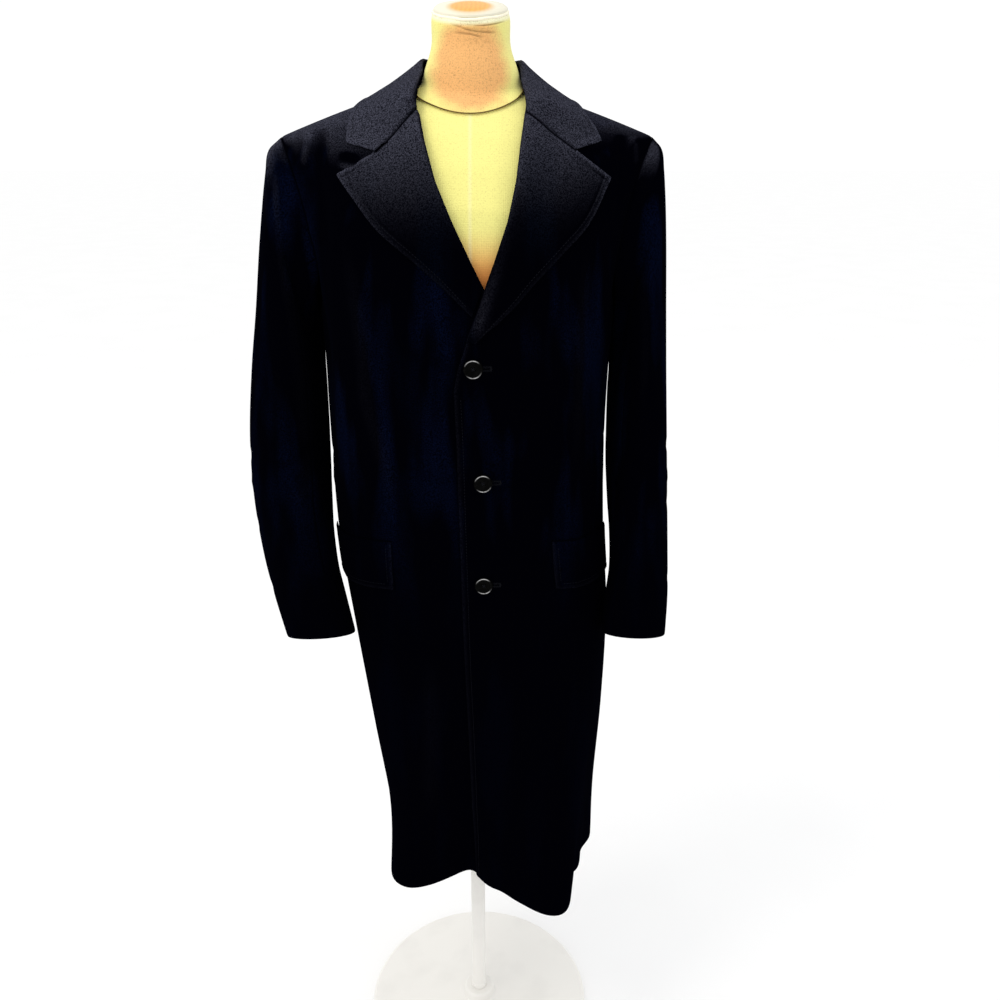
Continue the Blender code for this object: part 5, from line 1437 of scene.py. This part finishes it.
@dataclass(frozen=True)
class DressForm:
    """Limbless form under the coat: a padded body in linen with a neck, a wooden cap and a plain stand."""

    grain: float = 0.004
    relax: int = 6
    cap_seat: Spot = (0.003, -0.006, 1.681)
    cap_lean: float = 15.0
    gap: float = 0.0003
    neck_cloth: float = 0.0009
    neck_air: float = 0.0005
    neck_low: Spot = (0.003, -0.003, 1.592)
    neck_high: Spot = (0.003, -0.006, 1.6795)
    neck_lean: float = 15.0
    neck_reach: Span = (0.095, 0.06)
    # The seam round the neck's base dips by 30 mm in front and rises by 12 mm behind
    neck_dip: Span = (0.03, 0.012)
    dip_power: float = 1.5
    neck_middle: Spot = (0.003, -0.006, 1.643)
    neck_draw: Span = (0.0044, 0.021)
    seam_radius: float = 0.0007
    neck_pad: float = 0.002
    pad_share: float = 0.45
    pad_power: float = 1.3
    neck_columns: int = 160
    tape_radius: float = 0.0019
    neck_creases: CreaseMap = CreaseMap(strokes(
        View.FRONT,
        (1.5, -1.4, (-4, 1662.5), (10, 1661.2), (24, 1662.2), (36, 1664.8), (47, 1668)),
        (1.6, -1.5, (-20, 1663), (-11, 1660.5), (0, 1657), (12, 1655), (28, 1654.5), (36, 1654.8)),
        (1.5, -1.4, (-18, 1654.2), (-8, 1653.2), (3, 1652.1), (13, 1650), (20, 1648.5)),
        (1.6, -0.7, (10, 1648), (11, 1644), (10, 1639.5)),
        (1.4, -0.5, (19, 1643.5), (30, 1643.5)),
        (3, 0.7, (-16, 1658), (4, 1660), (28, 1659.5))))
    cap_profile: Points = (
        (0.0455, 0.0), (0.0465, 0.0012), (0.046, 0.0036), (0.043, 0.0058), (0.03, 0.0082), (0.014, 0.0094),
        (0.005, 0.0096))
    pole_profile: Points = (
        (0.014, 0.0323), (0.014, 0.04), (0.0125, 0.0405), (0.0125, 0.799), (0.006, 0.7997))
    base_profile: Points = (
        (0.1975, 0.0), (0.2, 0.002), (0.2, 0.0075), (0.196, 0.0105), (0.14, 0.0117), (0.04, 0.014),
        (0.03, 0.018), (0.027, 0.03), (0.024, 0.032), (0.0145, 0.032))

    def cover(self, node: Object) -> Object:
        """The linen-covered body: its solid's shape with the joint of neck and shoulders drawn smooth."""
        piece = node.copy()
        piece.data = node.data.copy()
        piece.parent = None
        piece.matrix_world = Matrix.Identity(4)
        for key in list(piece.keys()):
            del piece[key]
        piece.name = piece.data.name = "form_cover"
        bpy.context.scene.collection.objects.link(piece)
        joined = bmesh.new()
        joined.from_mesh(piece.data)
        bmesh.ops.remove_doubles(joined, verts=joined.verts, dist=1e-5)
        joined.to_mesh(piece.data)
        joined.free()
        piece.data.materials.clear()
        skin = piece.modifiers.new("even_skin", "REMESH")
        skin.mode, skin.voxel_size = "VOXEL", self.grain
        calm = piece.modifiers.new("drawn_tight", "SMOOTH")
        calm.factor, calm.iterations = 0.5, self.relax
        apply_modifiers(piece)
        self.draw_in(piece.data)
        piece.data.shade_smooth()
        return piece

    def draw_in(self, mesh: bpy.types.Mesh) -> None:
        """Draws the neck in at half its height, as the photo shows it."""
        spots = np.empty(3 * len(mesh.vertices))
        mesh.vertices.foreach_get("co", spots)
        spots = spots.reshape(-1, 3)
        away = (spots - self.neck_middle) * (1, 1, 0)
        rise = spots[:, 2] - self.neck_middle[2]
        spots -= unit(away) * (self.neck_draw[0] * np.exp(-(rise / self.neck_draw[1]) ** 2))[:, None]
        mesh.vertices.foreach_set("co", spots.ravel())
        mesh.update()

    def neck_cover(self, cover: Object) -> ClothPiece:
        """The cover of the neck, laid on the body's, sewn round its base and creased below its top edge.

        Args:
            cover: the finished cover of the body.

        Returns:
            The piece of cloth.
        """
        shares = np.concatenate([np.linspace(0, 0.5, 20)[:-1], np.linspace(0.5, 1, 42)])
        turns = np.linspace(-179.5, 179.5, self.neck_columns)
        point = np.zeros((len(shares), len(turns), 3))
        low, high = np.array(self.neck_low), np.array(self.neck_high)
        for i, share in enumerate(shares):
            middle = low + (high - low) * share
            lean = math.tan(math.radians(self.neck_lean * share))
            reach = self.neck_reach[0] + (self.neck_reach[1] - self.neck_reach[0]) * share
            for j, turn in enumerate(np.radians(turns)):
                ahead = math.cos(turn)
                dip = self.neck_dip[0] * max(ahead, 0) ** self.dip_power + self.neck_dip[1] * min(ahead, 0)
                start = Vector(middle) - Vector((0, 0, dip * (1 - share)))
                way = Vector((math.sin(turn), -ahead, -ahead * lean)).normalized()
                hit, spot, _, _ = cover.ray_cast(start, way, distance=reach)
                point[i, j] = spot if hit else start + way * reach
        for _ in range(3):
            point[:, 1:-1] = (point[:, :-2] + 2 * point[:, 1:-1] + point[:, 2:]) / 4
        normal = grid_normals(point, 1)
        beside = np.abs(np.sin(np.radians(turns))) ** 3
        pad = self.neck_pad * np.clip(1 - shares / self.pad_share, 0, 1)[:, None] ** self.pad_power * beside
        point = point + normal * (self.neck_air + self.neck_cloth + pad)[..., None]
        return ClothPiece("neck_cover", (), point, normal, self.neck_cloth, Edge.SEAM, Edge.SEAM, Edge.SOFT,
                          Edge.SOFT, (0.405, 0.105), 0.0328, soil_and_shade=0.0014)

    def bead(self, name: str, line: Array, radius: float) -> Object:
        """A thin round edge or seam laid along a closed line."""
        drawn = bpy.data.curves.new(name, "CURVE")
        drawn.dimensions, drawn.bevel_depth, drawn.bevel_resolution = "3D", radius, 3
        spline = drawn.splines.new("POLY")
        spline.points.add(len(line) - 1)
        for knot, spot in zip(spline.points, line):
            knot.co = (*spot, 1)
        spline.use_cyclic_u = True
        piece = put(name, drawn)
        pick_out(piece)
        bpy.ops.object.convert(target="MESH")
        piece = bpy.context.active_object
        piece.data.shade_smooth()
        return piece

    def cap(self) -> Object:
        """Turned cap on the neck, leaning forward with its top."""
        cap = turn_on_lathe("turned_neck_cap", self.cap_profile, 64, 0.0003)
        lean = math.radians(self.cap_lean)
        axis = np.array([0, -math.sin(lean), math.cos(lean)])
        place(cap, np.array(self.cap_seat) + axis * self.gap, axis)
        return cap

    def pole(self) -> Object:
        """Pole from the base up into the body."""
        return turn_on_lathe("stand_pole", self.pole_profile, 48, 0.0003)

    def base(self) -> Object:
        """Round base with its collar for the pole."""
        return turn_on_lathe("stand_base", self.base_profile, 128, 0.0005)


# Finishes
def colour(code: str) -> tuple[float, float, float, float]:
    """An sRGB hex colour as linear values."""
    levels = [int(code[i:i + 2], 16) / 255 for i in (1, 3, 5)]
    return (*(v / 12.92 if v <= 0.04045 else ((v + 0.055) / 1.055) ** 2.4 for v in levels), 1.0)


def wire(node: bpy.types.Node, inputs: dict) -> bpy.types.Node:
    """Sets a node's options and sockets and links what feeds them.

    Args:
        node: the node.
        inputs: by name or number, a value, a hex colour, or the node or socket that feeds it.

    Returns:
        The node.
    """
    for name, value in inputs.items():
        if isinstance(value, bpy.types.Node):
            value = next(socket for socket in value.outputs if socket.enabled)
        if isinstance(value, bpy.types.NodeSocket):
            node.id_data.links.new(value, node.inputs[name])
        elif isinstance(name, int) or name in node.inputs:
            node.inputs[name].default_value = colour(value) if isinstance(value, str) else value
        else:
            setattr(node, name, value)
    return node


def add_node(material: bpy.types.Material, kind: str, inputs: dict | None = None) -> bpy.types.Node:
    """Adds a shader node of a kind with its settings and links."""
    return wire(material.node_tree.nodes.new(f"ShaderNode{kind}"), inputs or {})


def between(span: Span) -> dict:
    """Settings of a smooth map range that rises over a span."""
    return {"interpolation_type": "SMOOTHSTEP", "From Min": span[0], "From Max": span[1]}


def start_material(name: str) -> tuple[bpy.types.Material, Callable, bpy.types.Node, bpy.types.NodeSocket]:
    """A new material, what adds its nodes, its shader and its object coordinates."""
    material = bpy.data.materials.new(name)
    material.use_nodes = True
    add = partial(add_node, material)
    return material, add, material.node_tree.nodes["Principled BSDF"], add("TexCoord").outputs["Object"]


def dress(piece: Object, material: bpy.types.Material) -> None:
    """Gives a piece its finish."""
    piece.data.materials.clear()
    piece.data.materials.append(material)


@dataclass(frozen=True)
class MeltonWool:
    """Melton, woven in wool and then felted and brushed: no weave shows, only a short nap.

    Near the top, where the cloth faces up and to the wearer's right, a painted highlight turns the nap a grainy
    blue grey; on the collar and lapels it reaches over more of the cloth. Lower down, soft bands of painted navy
    sheen lie on a near black ground, which is painted shade on the skirt. Seams and crease troughs get painted
    shade; crease ridges, turned edges and the left lapel's roll get a painted highlight, with rubbed nap on the
    edges.
    """

    name: str = "felted_navy_melton"
    black: str = "#010104"
    # Colour of the painted sheen bands over the near black ground
    navy: str = "#040a1e"
    # Dark and pale grains of the painted highlight on the nap
    nap_low: str = "#08090f"
    nap_high: str = "#464754"
    # Colour of rubbed nap and painted highlight on turned edges, crease ridges and the left lapel's roll
    rubbed: str = "#3c3d49"
    # The nap's clumps are 0.6 mm and are drawn at 1.5 mm, as coarse as they need to show
    nap_mm: float = 1.5
    # Painted navy sheen in soft bands, 45 mm apart and five times as long
    sheen_band_mm: float = 45.0
    # Way the painted highlight falls from, and how far a face must turn towards it
    window: Spot = (-0.21, -0.1, 0.94)
    painted_light_facing: Span = (0.54, 1.02)
    # Heights between which the painted highlight sets in
    painted_light_heights: Span = (1.395, 1.545)
    # Heights between which the painted navy sheen sets in; below them the skirt stays near black as painted shade
    shaded: Span = (0.9, 1.15)
    tint: str = "#6f7594"

    def make(self) -> bpy.types.Material:
        """Builds the material."""
        material, add, shader, place = start_material(self.name)
        nap = add("TexNoise", {"Scale": 1000 / self.nap_mm, "Detail": 2.5, "Roughness": 0.7, "Vector": place})
        drawn = add("Mapping", {"Scale": (1.0, 1.0, 0.2), "Vector": place})
        band = add("TexNoise", {"Scale": 1000 / self.sheen_band_mm, "Detail": 2.0, "Vector": drawn})
        grain = add("MapRange", {"From Min": 0.4, "From Max": 0.64, "Value": nap})
        blue = add("MapRange", {"From Min": 0.5, "From Max": 0.66, "Value": band})
        height = add("SeparateXYZ", {"Vector": place})
        # Painted sheen in bands, fading out towards the hem as painted shade
        skirt = add("MapRange", {**between(self.shaded), "To Min": 0.12, "Value": height.outputs["Z"]})
        painted_sheen = add("Math", {"operation": "MULTIPLY", 0: skirt, 1: blue})
        flecked = add("Math", {"operation": "MULTIPLY", 0: grain, 1: painted_sheen})
        ground = add("Mix", {"data_type": "RGBA", 0: flecked, 6: self.black, 7: self.navy})
        # Painted highlight: the nap painted a grainy grey where the cloth faces the light's way, high up
        painted_light_nap = add("Mix", {"data_type": "RGBA", 0: grain, 6: self.nap_low, 7: self.nap_high})
        facing = add("NewGeometry")
        toward_light = add("VectorMath", {"operation": "DOT_PRODUCT", 0: facing.outputs["Normal"], 1: self.window})
        sky = add("MapRange", {**between(self.painted_light_facing), "Value": toward_light})
        high = add("MapRange", {**between(self.painted_light_heights), "Value": height.outputs["Z"]})
        share = add("Math", {"operation": "MULTIPLY", 0: sky, 1: high})
        wool = add("Mix", {"data_type": "RGBA", 0: share, 6: ground, 7: painted_light_nap})
        # Rubbed nap and painted highlight from edges, ridges and the lapel's roll, shown mostly high up
        edge = add("Attribute", {"attribute_name": "rubbed"})
        edge_rub_and_light = add("Math", {"operation": "MULTIPLY", 0: edge.outputs["Fac"], 1: grain})
        edge_light_by_height = add("MapRange", {"From Min": 0.0, "From Max": 0.8, "To Min": 0.07, "To Max": 0.9, "Value": high})
        worn_share = add("Math", {"operation": "MULTIPLY", 0: edge_rub_and_light, 1: edge_light_by_height})
        worn = add("Mix", {"data_type": "RGBA", 0: worn_share, 6: wool, 7: self.rubbed})
        # Painted shade in the seams and crease troughs, towards the ground's black
        hollow = add("Attribute", {"attribute_name": "hollow"})
        seam = add("Mix", {"data_type": "RGBA", 0: hollow.outputs["Fac"], 6: worn, 7: self.black})
        bump = add("Bump", {"Strength": 0.5, "Distance": 0.0006, "Height": nap})
        wire(shader, {
            "Base Color": seam, "Normal": bump, "Roughness": 1.0, "Specular IOR Level": 0.0, "Sheen Weight": 0.006,
            "Sheen Roughness": 0.5, "Sheen Tint": self.tint})
        return material


@dataclass(frozen=True)
class SewingThread:
    """Polyester thread, twisted from two plies: a dull gleam on each stitch."""

    name: str = "navy_sewing_thread"
    shade: str = "#020308"
    lit: str = "#0c0d14"
    ply_mm: float = 0.5

    def make(self) -> bpy.types.Material:
        """Builds the material."""
        material, add, shader, place = start_material(self.name)
        plies = add("TexNoise", {"Scale": 1000 / self.ply_mm, "Vector": place})
        mix = add("Mix", {"data_type": "RGBA", 0: plies, 6: self.shade, 7: self.lit})
        wire(shader, {"Base Color": mix, "Roughness": 0.8, "Specular IOR Level": 0.1})
        return material


@dataclass(frozen=True)
class ButtonResin:
    """Cast polyester resin in imitation of dark horn: smoky swirls dulled with use, and a painted rim highlight."""

    name: str = "dark_horn_resin"
    dark: str = "#020202"
    smoke: str = "#080808"
    # Colour of the painted highlight on the rim
    rim: str = "#c4c4c4"
    swirl_mm: float = 9.0

    def make(self) -> bpy.types.Material:
        """Builds the material."""
        material, add, shader, place = start_material(self.name)
        swirl = add("TexNoise", {"Scale": 1000 / self.swirl_mm, "Detail": 5.0, "Distortion": 1.8, "Vector": place})
        share = add("MapRange", {"From Min": 0.45, "From Max": 0.75, "Value": swirl})
        mix = add("Mix", {"data_type": "RGBA", 0: share, 6: self.dark, 7: self.smoke})
        rubbed = add("MapRange", {"From Min": 0.3, "From Max": 0.7, "To Min": 0.3, "To Max": 0.45, "Value": swirl})
        # Painted highlight on the rim, broken up by the swirls
        rim = add("Attribute", {"attribute_name": "rim"})
        worn = add("MapRange", {"From Min": 0.35, "From Max": 0.6, "To Min": 0.25, "Value": swirl})
        bright = add("Math", {"operation": "MULTIPLY", 0: rim.outputs["Fac"], 1: worn})
        whole = add("Mix", {"data_type": "RGBA", 0: bright, 6: mix, 7: self.rim})
        wire(shader, {"Base Color": whole, "Roughness": rubbed, "Specular IOR Level": 0.02})
        return material


@dataclass(frozen=True)
class LinenCover:
    """Fine linen stretched over the form: plain weave, cream, peach over the front of the neck.

    Low on the chest it is painted a darker orange as shade.
    """

    name: str = "stretched_linen"
    cream: str = "#ebe58a"
    peach: str = "#e8af6e"
    # Painted shade: a darker orange low on the chest
    deep: str = "#e68f45"
    # Paler colour of the centre seam's line and the neck's upper edge
    pressed: str = "#efedc8"
    # Threads are 0.5 mm apart and are drawn at 1.4 mm, as coarse as they need to show
    thread_mm: float = 1.4
    # Soil in the slubs of the thread, 1.8 mm across
    slub_mm: float = 1.8
    # Colour of the slubs' dirt, also used as painted shade in the neck's creases
    soil_and_shade_colour: str = "#8a6a40"
    neck_spot: Spot = (0.001, -0.055, 1.614)
    neck_size: Spot = (0.07, 0.066, 0.071)
    neck_fade: Span = (1.19, 0.79)
    # Heights over which the painted shade sets in, downwards
    deep_height: Span = (1.44, 1.365)
    seam_x: float = 0.003
    seam_top: float = 1.562
    # The neck is paler along its upper edge, over its last 7 mm
    top_way: Spot = (0.0, -0.2588, 0.9659)
    top_at: Span = (1.6165, 1.6225)

    def make(self) -> bpy.types.Material:
        """Builds the material."""
        material, add, shader, place = start_material(self.name)
        centred = add("Mapping", {
            "vector_type": "POINT", "Location": [-p / s for p, s in zip(self.neck_spot, self.neck_size)],
            "Scale": [1 / s for s in self.neck_size], "Vector": place})
        blotch = add("TexNoise", {"Scale": 28.0, "Detail": 3.0, "Vector": place})
        away = add("VectorMath", {"operation": "LENGTH", 0: centred})
        uneven = add("Math", {"operation": "MULTIPLY_ADD", 0: blotch, 1: 0.5, 2: away})
        neck = add("MapRange", {**between(self.neck_fade), "Value": uneven})
        split = add("SeparateXYZ", {"Vector": place})
        low = add("MapRange", {**between(self.deep_height), "Value": split.outputs["Z"]})
        tinted = add("Mix", {"data_type": "RGBA", 0: neck, 6: self.cream, 7: self.peach})
        shaded_lower = add("Mix", {"data_type": "RGBA", 0: low, 6: tinted, 7: self.deep})
        beside = add("Math", {"operation": "SUBTRACT", 0: split.outputs["X"], 1: self.seam_x})
        off = add("Math", {"operation": "ABSOLUTE", 0: beside})
        line = add("MapRange", {"From Min": 0.0036, "From Max": 0.0004, "To Max": 0.28, "Value": off})
        under = add("Math", {"operation": "LESS_THAN", 0: split.outputs["Z"], 1: self.seam_top})
        seam = add("Math", {"operation": "MULTIPLY", 0: line, 1: under})
        leaned = add("VectorMath", {"operation": "DOT_PRODUCT", 0: place, 1: self.top_way})
        top = add("MapRange", {**between(self.top_at), "Value": leaned})
        light = add("Math", {"operation": "MAXIMUM", 0: seam, 1: top})
        whole = add("Mix", {"data_type": "RGBA", 0: light, 6: shaded_lower, 7: self.pressed})
        slub = add("TexNoise", {"Scale": 1000 / self.slub_mm, "Detail": 2.0, "Roughness": 0.8, "Vector": place})
        # Painted shade in the creases, mixed with the dirt in the slubs
        fold = add("Attribute", {"attribute_name": "hollow"})
        specked = add("MapRange", {"From Min": 0.5, "From Max": 0.72, "To Max": 0.62, "Value": slub})
        neck_weight = add("MapRange", {"To Min": 0.4, "Value": neck})
        specks = add("Math", {"operation": "MULTIPLY", 0: specked, 1: neck_weight})
        shadow = add("Math", {"operation": "MULTIPLY", 0: fold.outputs["Fac"], 1: 0.8})
        soil_and_shade = add("Math", {"operation": "MAXIMUM", 0: specks, 1: shadow})
        folded = add("Mix", {"data_type": "RGBA", 0: soil_and_shade, 6: whole, 7: self.soil_and_shade_colour})
        weft, warp = (
            add("TexWave", {"bands_direction": way, "Scale": 1000 / self.thread_mm / math.pi / 2, "Distortion": 0.8,
                            "Detail": 1.0, "Vector": place}).outputs["Fac"] for way in "ZX")
        weave = add("Math", {"operation": "ADD", 0: weft, 1: warp})
        shade = add("MapRange", {"From Max": 2.0, "To Min": 0.97, "To Max": 1.01, "Value": weave})
        woven = add("VectorMath", {"operation": "SCALE", "Scale": shade, 0: folded})
        bump = add("Bump", {"Strength": 0.25, "Distance": 0.0003, "Height": weave})
        wire(shader, {
            "Base Color": woven, "Normal": bump, "Roughness": 0.85, "Specular IOR Level": 0.25,
            "Sheen Weight": 0.15})
        return material


@dataclass(frozen=True)
class CottonTape:
    """Bleached cotton tape bound over the neck's top edge: matt, with a fine rib."""

    name: str = "white_cotton_tape"
    light: str = "#fffbea"
    rib: str = "#efe4c4"
    rib_mm: float = 1.0

    def make(self) -> bpy.types.Material:
        """Builds the material."""
        material, add, shader, place = start_material(self.name)
        ribs = add("TexNoise", {"Scale": 1000 / self.rib_mm, "Vector": place})
        mix = add("Mix", {"data_type": "RGBA", 0: ribs, 6: self.light, 7: self.rib})
        bump = add("Bump", {"Strength": 0.2, "Distance": 0.0003, "Height": ribs})
        wire(shader, {"Base Color": mix, "Normal": bump, "Roughness": 0.9})
        return material


@dataclass(frozen=True)
class OiledBeech:
    """Beech turned on a lathe and finished with varnish, with a painted highlight that pales the cap towards its rim.
    """

    name: str = "oiled_beech"
    ground: str = "#e0a850"
    grain: str = "#cf8c3c"
    # Colour of the painted highlight towards the cap's rim
    pale: str = "#dcdccb"
    middle: Spot = (0.003, -0.024, 1.69)
    # Distances from the cap's middle over which the painted highlight sets in
    rim_light_reach: Span = (0.021, 0.034)
    # Rings are 3 mm apart, and a fleck is 0.9 mm wide and 3.5 mm long
    ring_mm: float = 3.0
    fleck_mm: Spot = (0.9, 3.5, 0.9)

    def make(self) -> bpy.types.Material:
        """Builds the material."""
        material, add, shader, place = start_material(self.name)
        rings = add("TexWave", {
            "bands_direction": "X", "Scale": 1000 / self.ring_mm / math.pi / 2, "Distortion": 6.0, "Detail": 3.0,
            "Vector": place})
        drawn = add("Mapping", {"Scale": [1000 / mm for mm in self.fleck_mm], "Vector": place})
        flecks = add("TexNoise", {"Scale": 1.0, "Detail": 2.0, "Vector": drawn})
        dark = add("MapRange", {"From Min": 0.58, "From Max": 0.7, "To Max": 0.6, "Value": flecks})
        both = add("Math", {
            "operation": "MULTIPLY_ADD", "use_clamp": True, 0: rings.outputs["Fac"], 1: 0.35, 2: dark})
        mix = add("Mix", {"data_type": "RGBA", 0: both, 6: self.ground, 7: self.grain})
        reach = add("VectorMath", {"operation": "DISTANCE", 0: place, 1: self.middle})
        rim_light_share = add("MapRange", {**between(self.rim_light_reach), "To Max": 0.92, "Value": reach})
        whole = add("Mix", {"data_type": "RGBA", 0: rim_light_share, 6: mix, 7: self.pale})
        bump = add("Bump", {"Strength": 0.15, "Distance": 0.0002, "Height": flecks})
        wire(shader, {"Base Color": whole, "Normal": bump, "Roughness": 0.42, "Specular IOR Level": 0.25})
        return material


@dataclass(frozen=True)
class StoveEnamel:
    """Powder enamel stoved on steel: pale, with a faint orange peel and a few rubbed patches."""

    name: str = "pale_stove_enamel"
    light: str = "#eceae5"
    rubbed: str = "#e6e4df"
    peel_mm: float = 2.2

    def make(self) -> bpy.types.Material:
        """Builds the material."""
        material, add, shader, place = start_material(self.name)
        peel = add("TexNoise", {"Scale": 1000 / self.peel_mm, "Detail": 1.0, "Vector": place})
        patch = add("TexNoise", {"Scale": 14.0, "Detail": 4.0, "Vector": place})
        worn = add("MapRange", {"From Min": 0.5, "From Max": 0.75, "Value": patch})
        mix = add("Mix", {"data_type": "RGBA", 0: worn, 6: self.light, 7: self.rubbed})
        gloss = add("MapRange", {"To Min": 0.3, "To Max": 0.46, "Value": patch})
        bump = add("Bump", {"Strength": 0.08, "Distance": 0.0002, "Height": peel})
        wire(shader, {"Base Color": mix, "Roughness": gloss, "Normal": bump})
        return material


@dataclass(frozen=True)
class StudioPaper:
    """Matt white background paper."""

    name: str = "studio_paper"
    light: str = "#fbfbfb"
    soft: str = "#f7f7f7"

    def make(self) -> bpy.types.Material:
        """Builds the material."""
        material, add, shader, place = start_material(self.name)
        fibre = add("TexNoise", {"Scale": 3.0, "Detail": 2.0, "Vector": place})
        mix = add("Mix", {"data_type": "RGBA", 0: fibre, 6: self.light, 7: self.soft})
        wire(shader, {"Base Color": mix, "Roughness": 1.0, "Specular IOR Level": 0.0})
        return material


# The whole scene
@dataclass(frozen=True)
class Studio:
    """White paper floor, soft light from above and in front, and the camera at the photograph's angle."""

    camera_at: Spot = (0.0395, -1.33, 1.56)
    camera_turn: Spot = (68.0, 0.0, 0.0)
    lens: float = 34.2
    floor_half: float = 30.0
    sky: float = 1.05
    # The floor's paper and the surround are white, so the view keeps plain studio tones
    view: str = "Standard"
    # Place, aim, width and height, power and shade of each soft light
    lamps: tuple[tuple[Spot, Spot, float, float, float, str], ...] = (
        ((-1.3, -0.9, 3.1), (0.0, 0.0, 1.5), 1.0, 1.0, 18.0, "#fffaf2"),
        ((0.5, -0.4, 3.4), (0.0, 0.0, 1.5), 1.2, 1.0, 5.0, "#f4f6ff"),
    )

    def floor(self) -> Object:
        """A wide sheet of white paper under the stand."""
        pick_out()
        bpy.ops.mesh.primitive_plane_add(size=2 * self.floor_half, location=(0, 0, 0))
        floor = bpy.context.active_object
        floor.name = "paper_floor"
        floor.data.materials.append(StudioPaper().make())
        return floor

    def light(self) -> None:
        """An even white surround and the soft lights."""
        world = bpy.data.worlds.new("white_surround")
        world.use_nodes = True
        ground = world.node_tree.nodes["Background"]
        ground.inputs["Color"].default_value = colour("#ffffff")
        ground.inputs["Strength"].default_value = self.sky
        bpy.context.scene.world = world
        bpy.context.scene.view_settings.view_transform = self.view
        for index, (at, aim, width, height, power, shade) in enumerate(self.lamps):
            lamp = bpy.data.lights.new(f"soft_light_{index + 1}", "AREA")
            lamp.shape, lamp.size, lamp.size_y = "RECTANGLE", width, height
            lamp.energy, lamp.color = power, colour(shade)[:3]
            holder = put(lamp.name, lamp)
            holder.location = at
            holder.rotation_euler = (Vector(aim) - Vector(at)).to_track_quat("-Z", "Y").to_euler()

    def camera(self) -> Object:
        """The camera, a little above the shoulders and tilted down."""
        lens = bpy.data.cameras.new("photo_camera")
        lens.lens, lens.sensor_width = self.lens, 36.0
        camera = put("photo_camera", lens)
        camera.location = self.camera_at
        camera.rotation_euler = [math.radians(turn) for turn in self.camera_turn]
        bpy.context.scene.camera = camera
        return camera


def report(piece: Object) -> None:
    """Logs a finished piece with its size in faces."""
    LOG.info("%s: %d faces", piece.name, len(piece.data.polygons))


def hang(cloth: ClothPiece, creases: CreaseMap, wool: bpy.types.Material, thread: bpy.types.Material,
         sewing: Thread) -> None:
    """Args:
        cloth: the piece.
        creases: the creases of the whole coat.
        wool: finish of the cloth.
        thread: finish of the stitching.
        sewing: the thread's sizes.
    """
    piece = cloth.build(creases)
    dress(piece, wool)
    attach(piece, BODY_NAME)
    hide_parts(*cloth.nodes)
    report(piece)
    rows = []
    for border in cloth.stitched:
        line, normals = cloth.stitch_line(border, creases)
        held = cloth.stitch_span(border, line)
        rows += sewing.run(line[held], normals[held])
    if rows:
        stitches = sewing.sew(f"{cloth.name}_stitching", rows)
        dress(stitches, thread)
        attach(stitches, BODY_NAME)
        report(stitches)


def set_in(piece: Object, material: bpy.types.Material, slot: str, *nodes: str) -> None:
    """Finishes a hard piece and lets it stand for its nodes."""
    dress(piece, material)
    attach(piece, BODY_NAME)
    if nodes:
        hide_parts(*nodes)
    report(piece)


def main() -> None:
    """Builds the coat, its buttons, the form and the studio, in that order."""
    logging.basicConfig(level=logging.INFO, format="%(name)s: %(message)s")
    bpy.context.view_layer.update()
    wool, thread = MeltonWool().make(), SewingThread().make()
    creases, sewing = CreaseMap(), Thread()
    # Collar and lapels: the painted highlight reaches over more of their slope, over a darker painted sheen
    facing = MeltonWool(name="felted_navy_melton_facing", painted_light_facing=(0.08, 0.85), navy="#02050e").make()
    panels, sleeves, lapels, flaps = Panels(), Sleeves(), Lapels(), Flaps()
    body = [panels.front(Side.RIGHT), panels.front(Side.LEFT), panels.back(Side.RIGHT), panels.back(Side.LEFT)]
    for cloth in body + [flaps.piece(side) for side in Side]:
        hang(cloth, creases, wool, thread, sewing)
    # Sleeves: the painted highlight falls from further to the wearer's right
    arm = MeltonWool(name="felted_navy_melton_sleeve", window=(-0.5, -0.1, 0.88),
                     painted_light_facing=(0.57, 0.98)).make()
    for cloth in [sleeves.piece(side, top) for side in Side for top in (True, False)]:
        hang(cloth, creases, arm, thread, sewing)
    for cloth in [lapels.piece(side) for side in Side] + [Collar().piece()]:
        hang(cloth, creases, facing, thread, sewing)
    resin, buttons = ButtonResin().make(), Buttons()
    for index in range(len(buttons.spots)):
        button, cross = buttons.front(index)
        set_in(button, resin, "button", f"front_button_{index + 1}")
        set_in(cross, thread, "button")
        set_in(buttons.buttonhole(index), thread, "wool")
    for side in Side:
        for index in range(len(buttons.cuff_shares)):
            button, cross = buttons.cuff(side, index)
            set_in(button, resin, "button", f"cuff_button_{side.word}_{index + 1}")
            set_in(cross, thread, "button")
    form, linen = DressForm(), LinenCover().make()
    cover = form.cover(frame["nodes"]["form_torso"])
    set_in(cover, linen, "form_cover", "form_torso")
    neck = form.neck_cover(cover)
    sleeve = neck.build(form.neck_creases)
    set_in(sleeve, linen, "form_cover")
    brown = SewingThread(name="brown_sewing_thread", shade="#4a3818", lit="#6b5428").make()
    seam = neck.point[0] + neck.normal[0] * form.seam_radius
    set_in(form.bead("neck_seam", seam, form.seam_radius), brown, "form_cover")
    set_in(form.bead("neck_tape", neck.point[-1], form.tape_radius), CottonTape().make(), "form_cover")
    set_in(form.cap(), OiledBeech().make(), "neck_cap", "neck_cap")
    enamel = StoveEnamel().make()
    set_in(form.pole(), enamel, "pole", "pole")
    set_in(form.base(), enamel, "base", "base_plate")
    studio = Studio()
    studio.floor()
    studio.light()
    studio.camera()


if __name__ == "__main__":
    main()
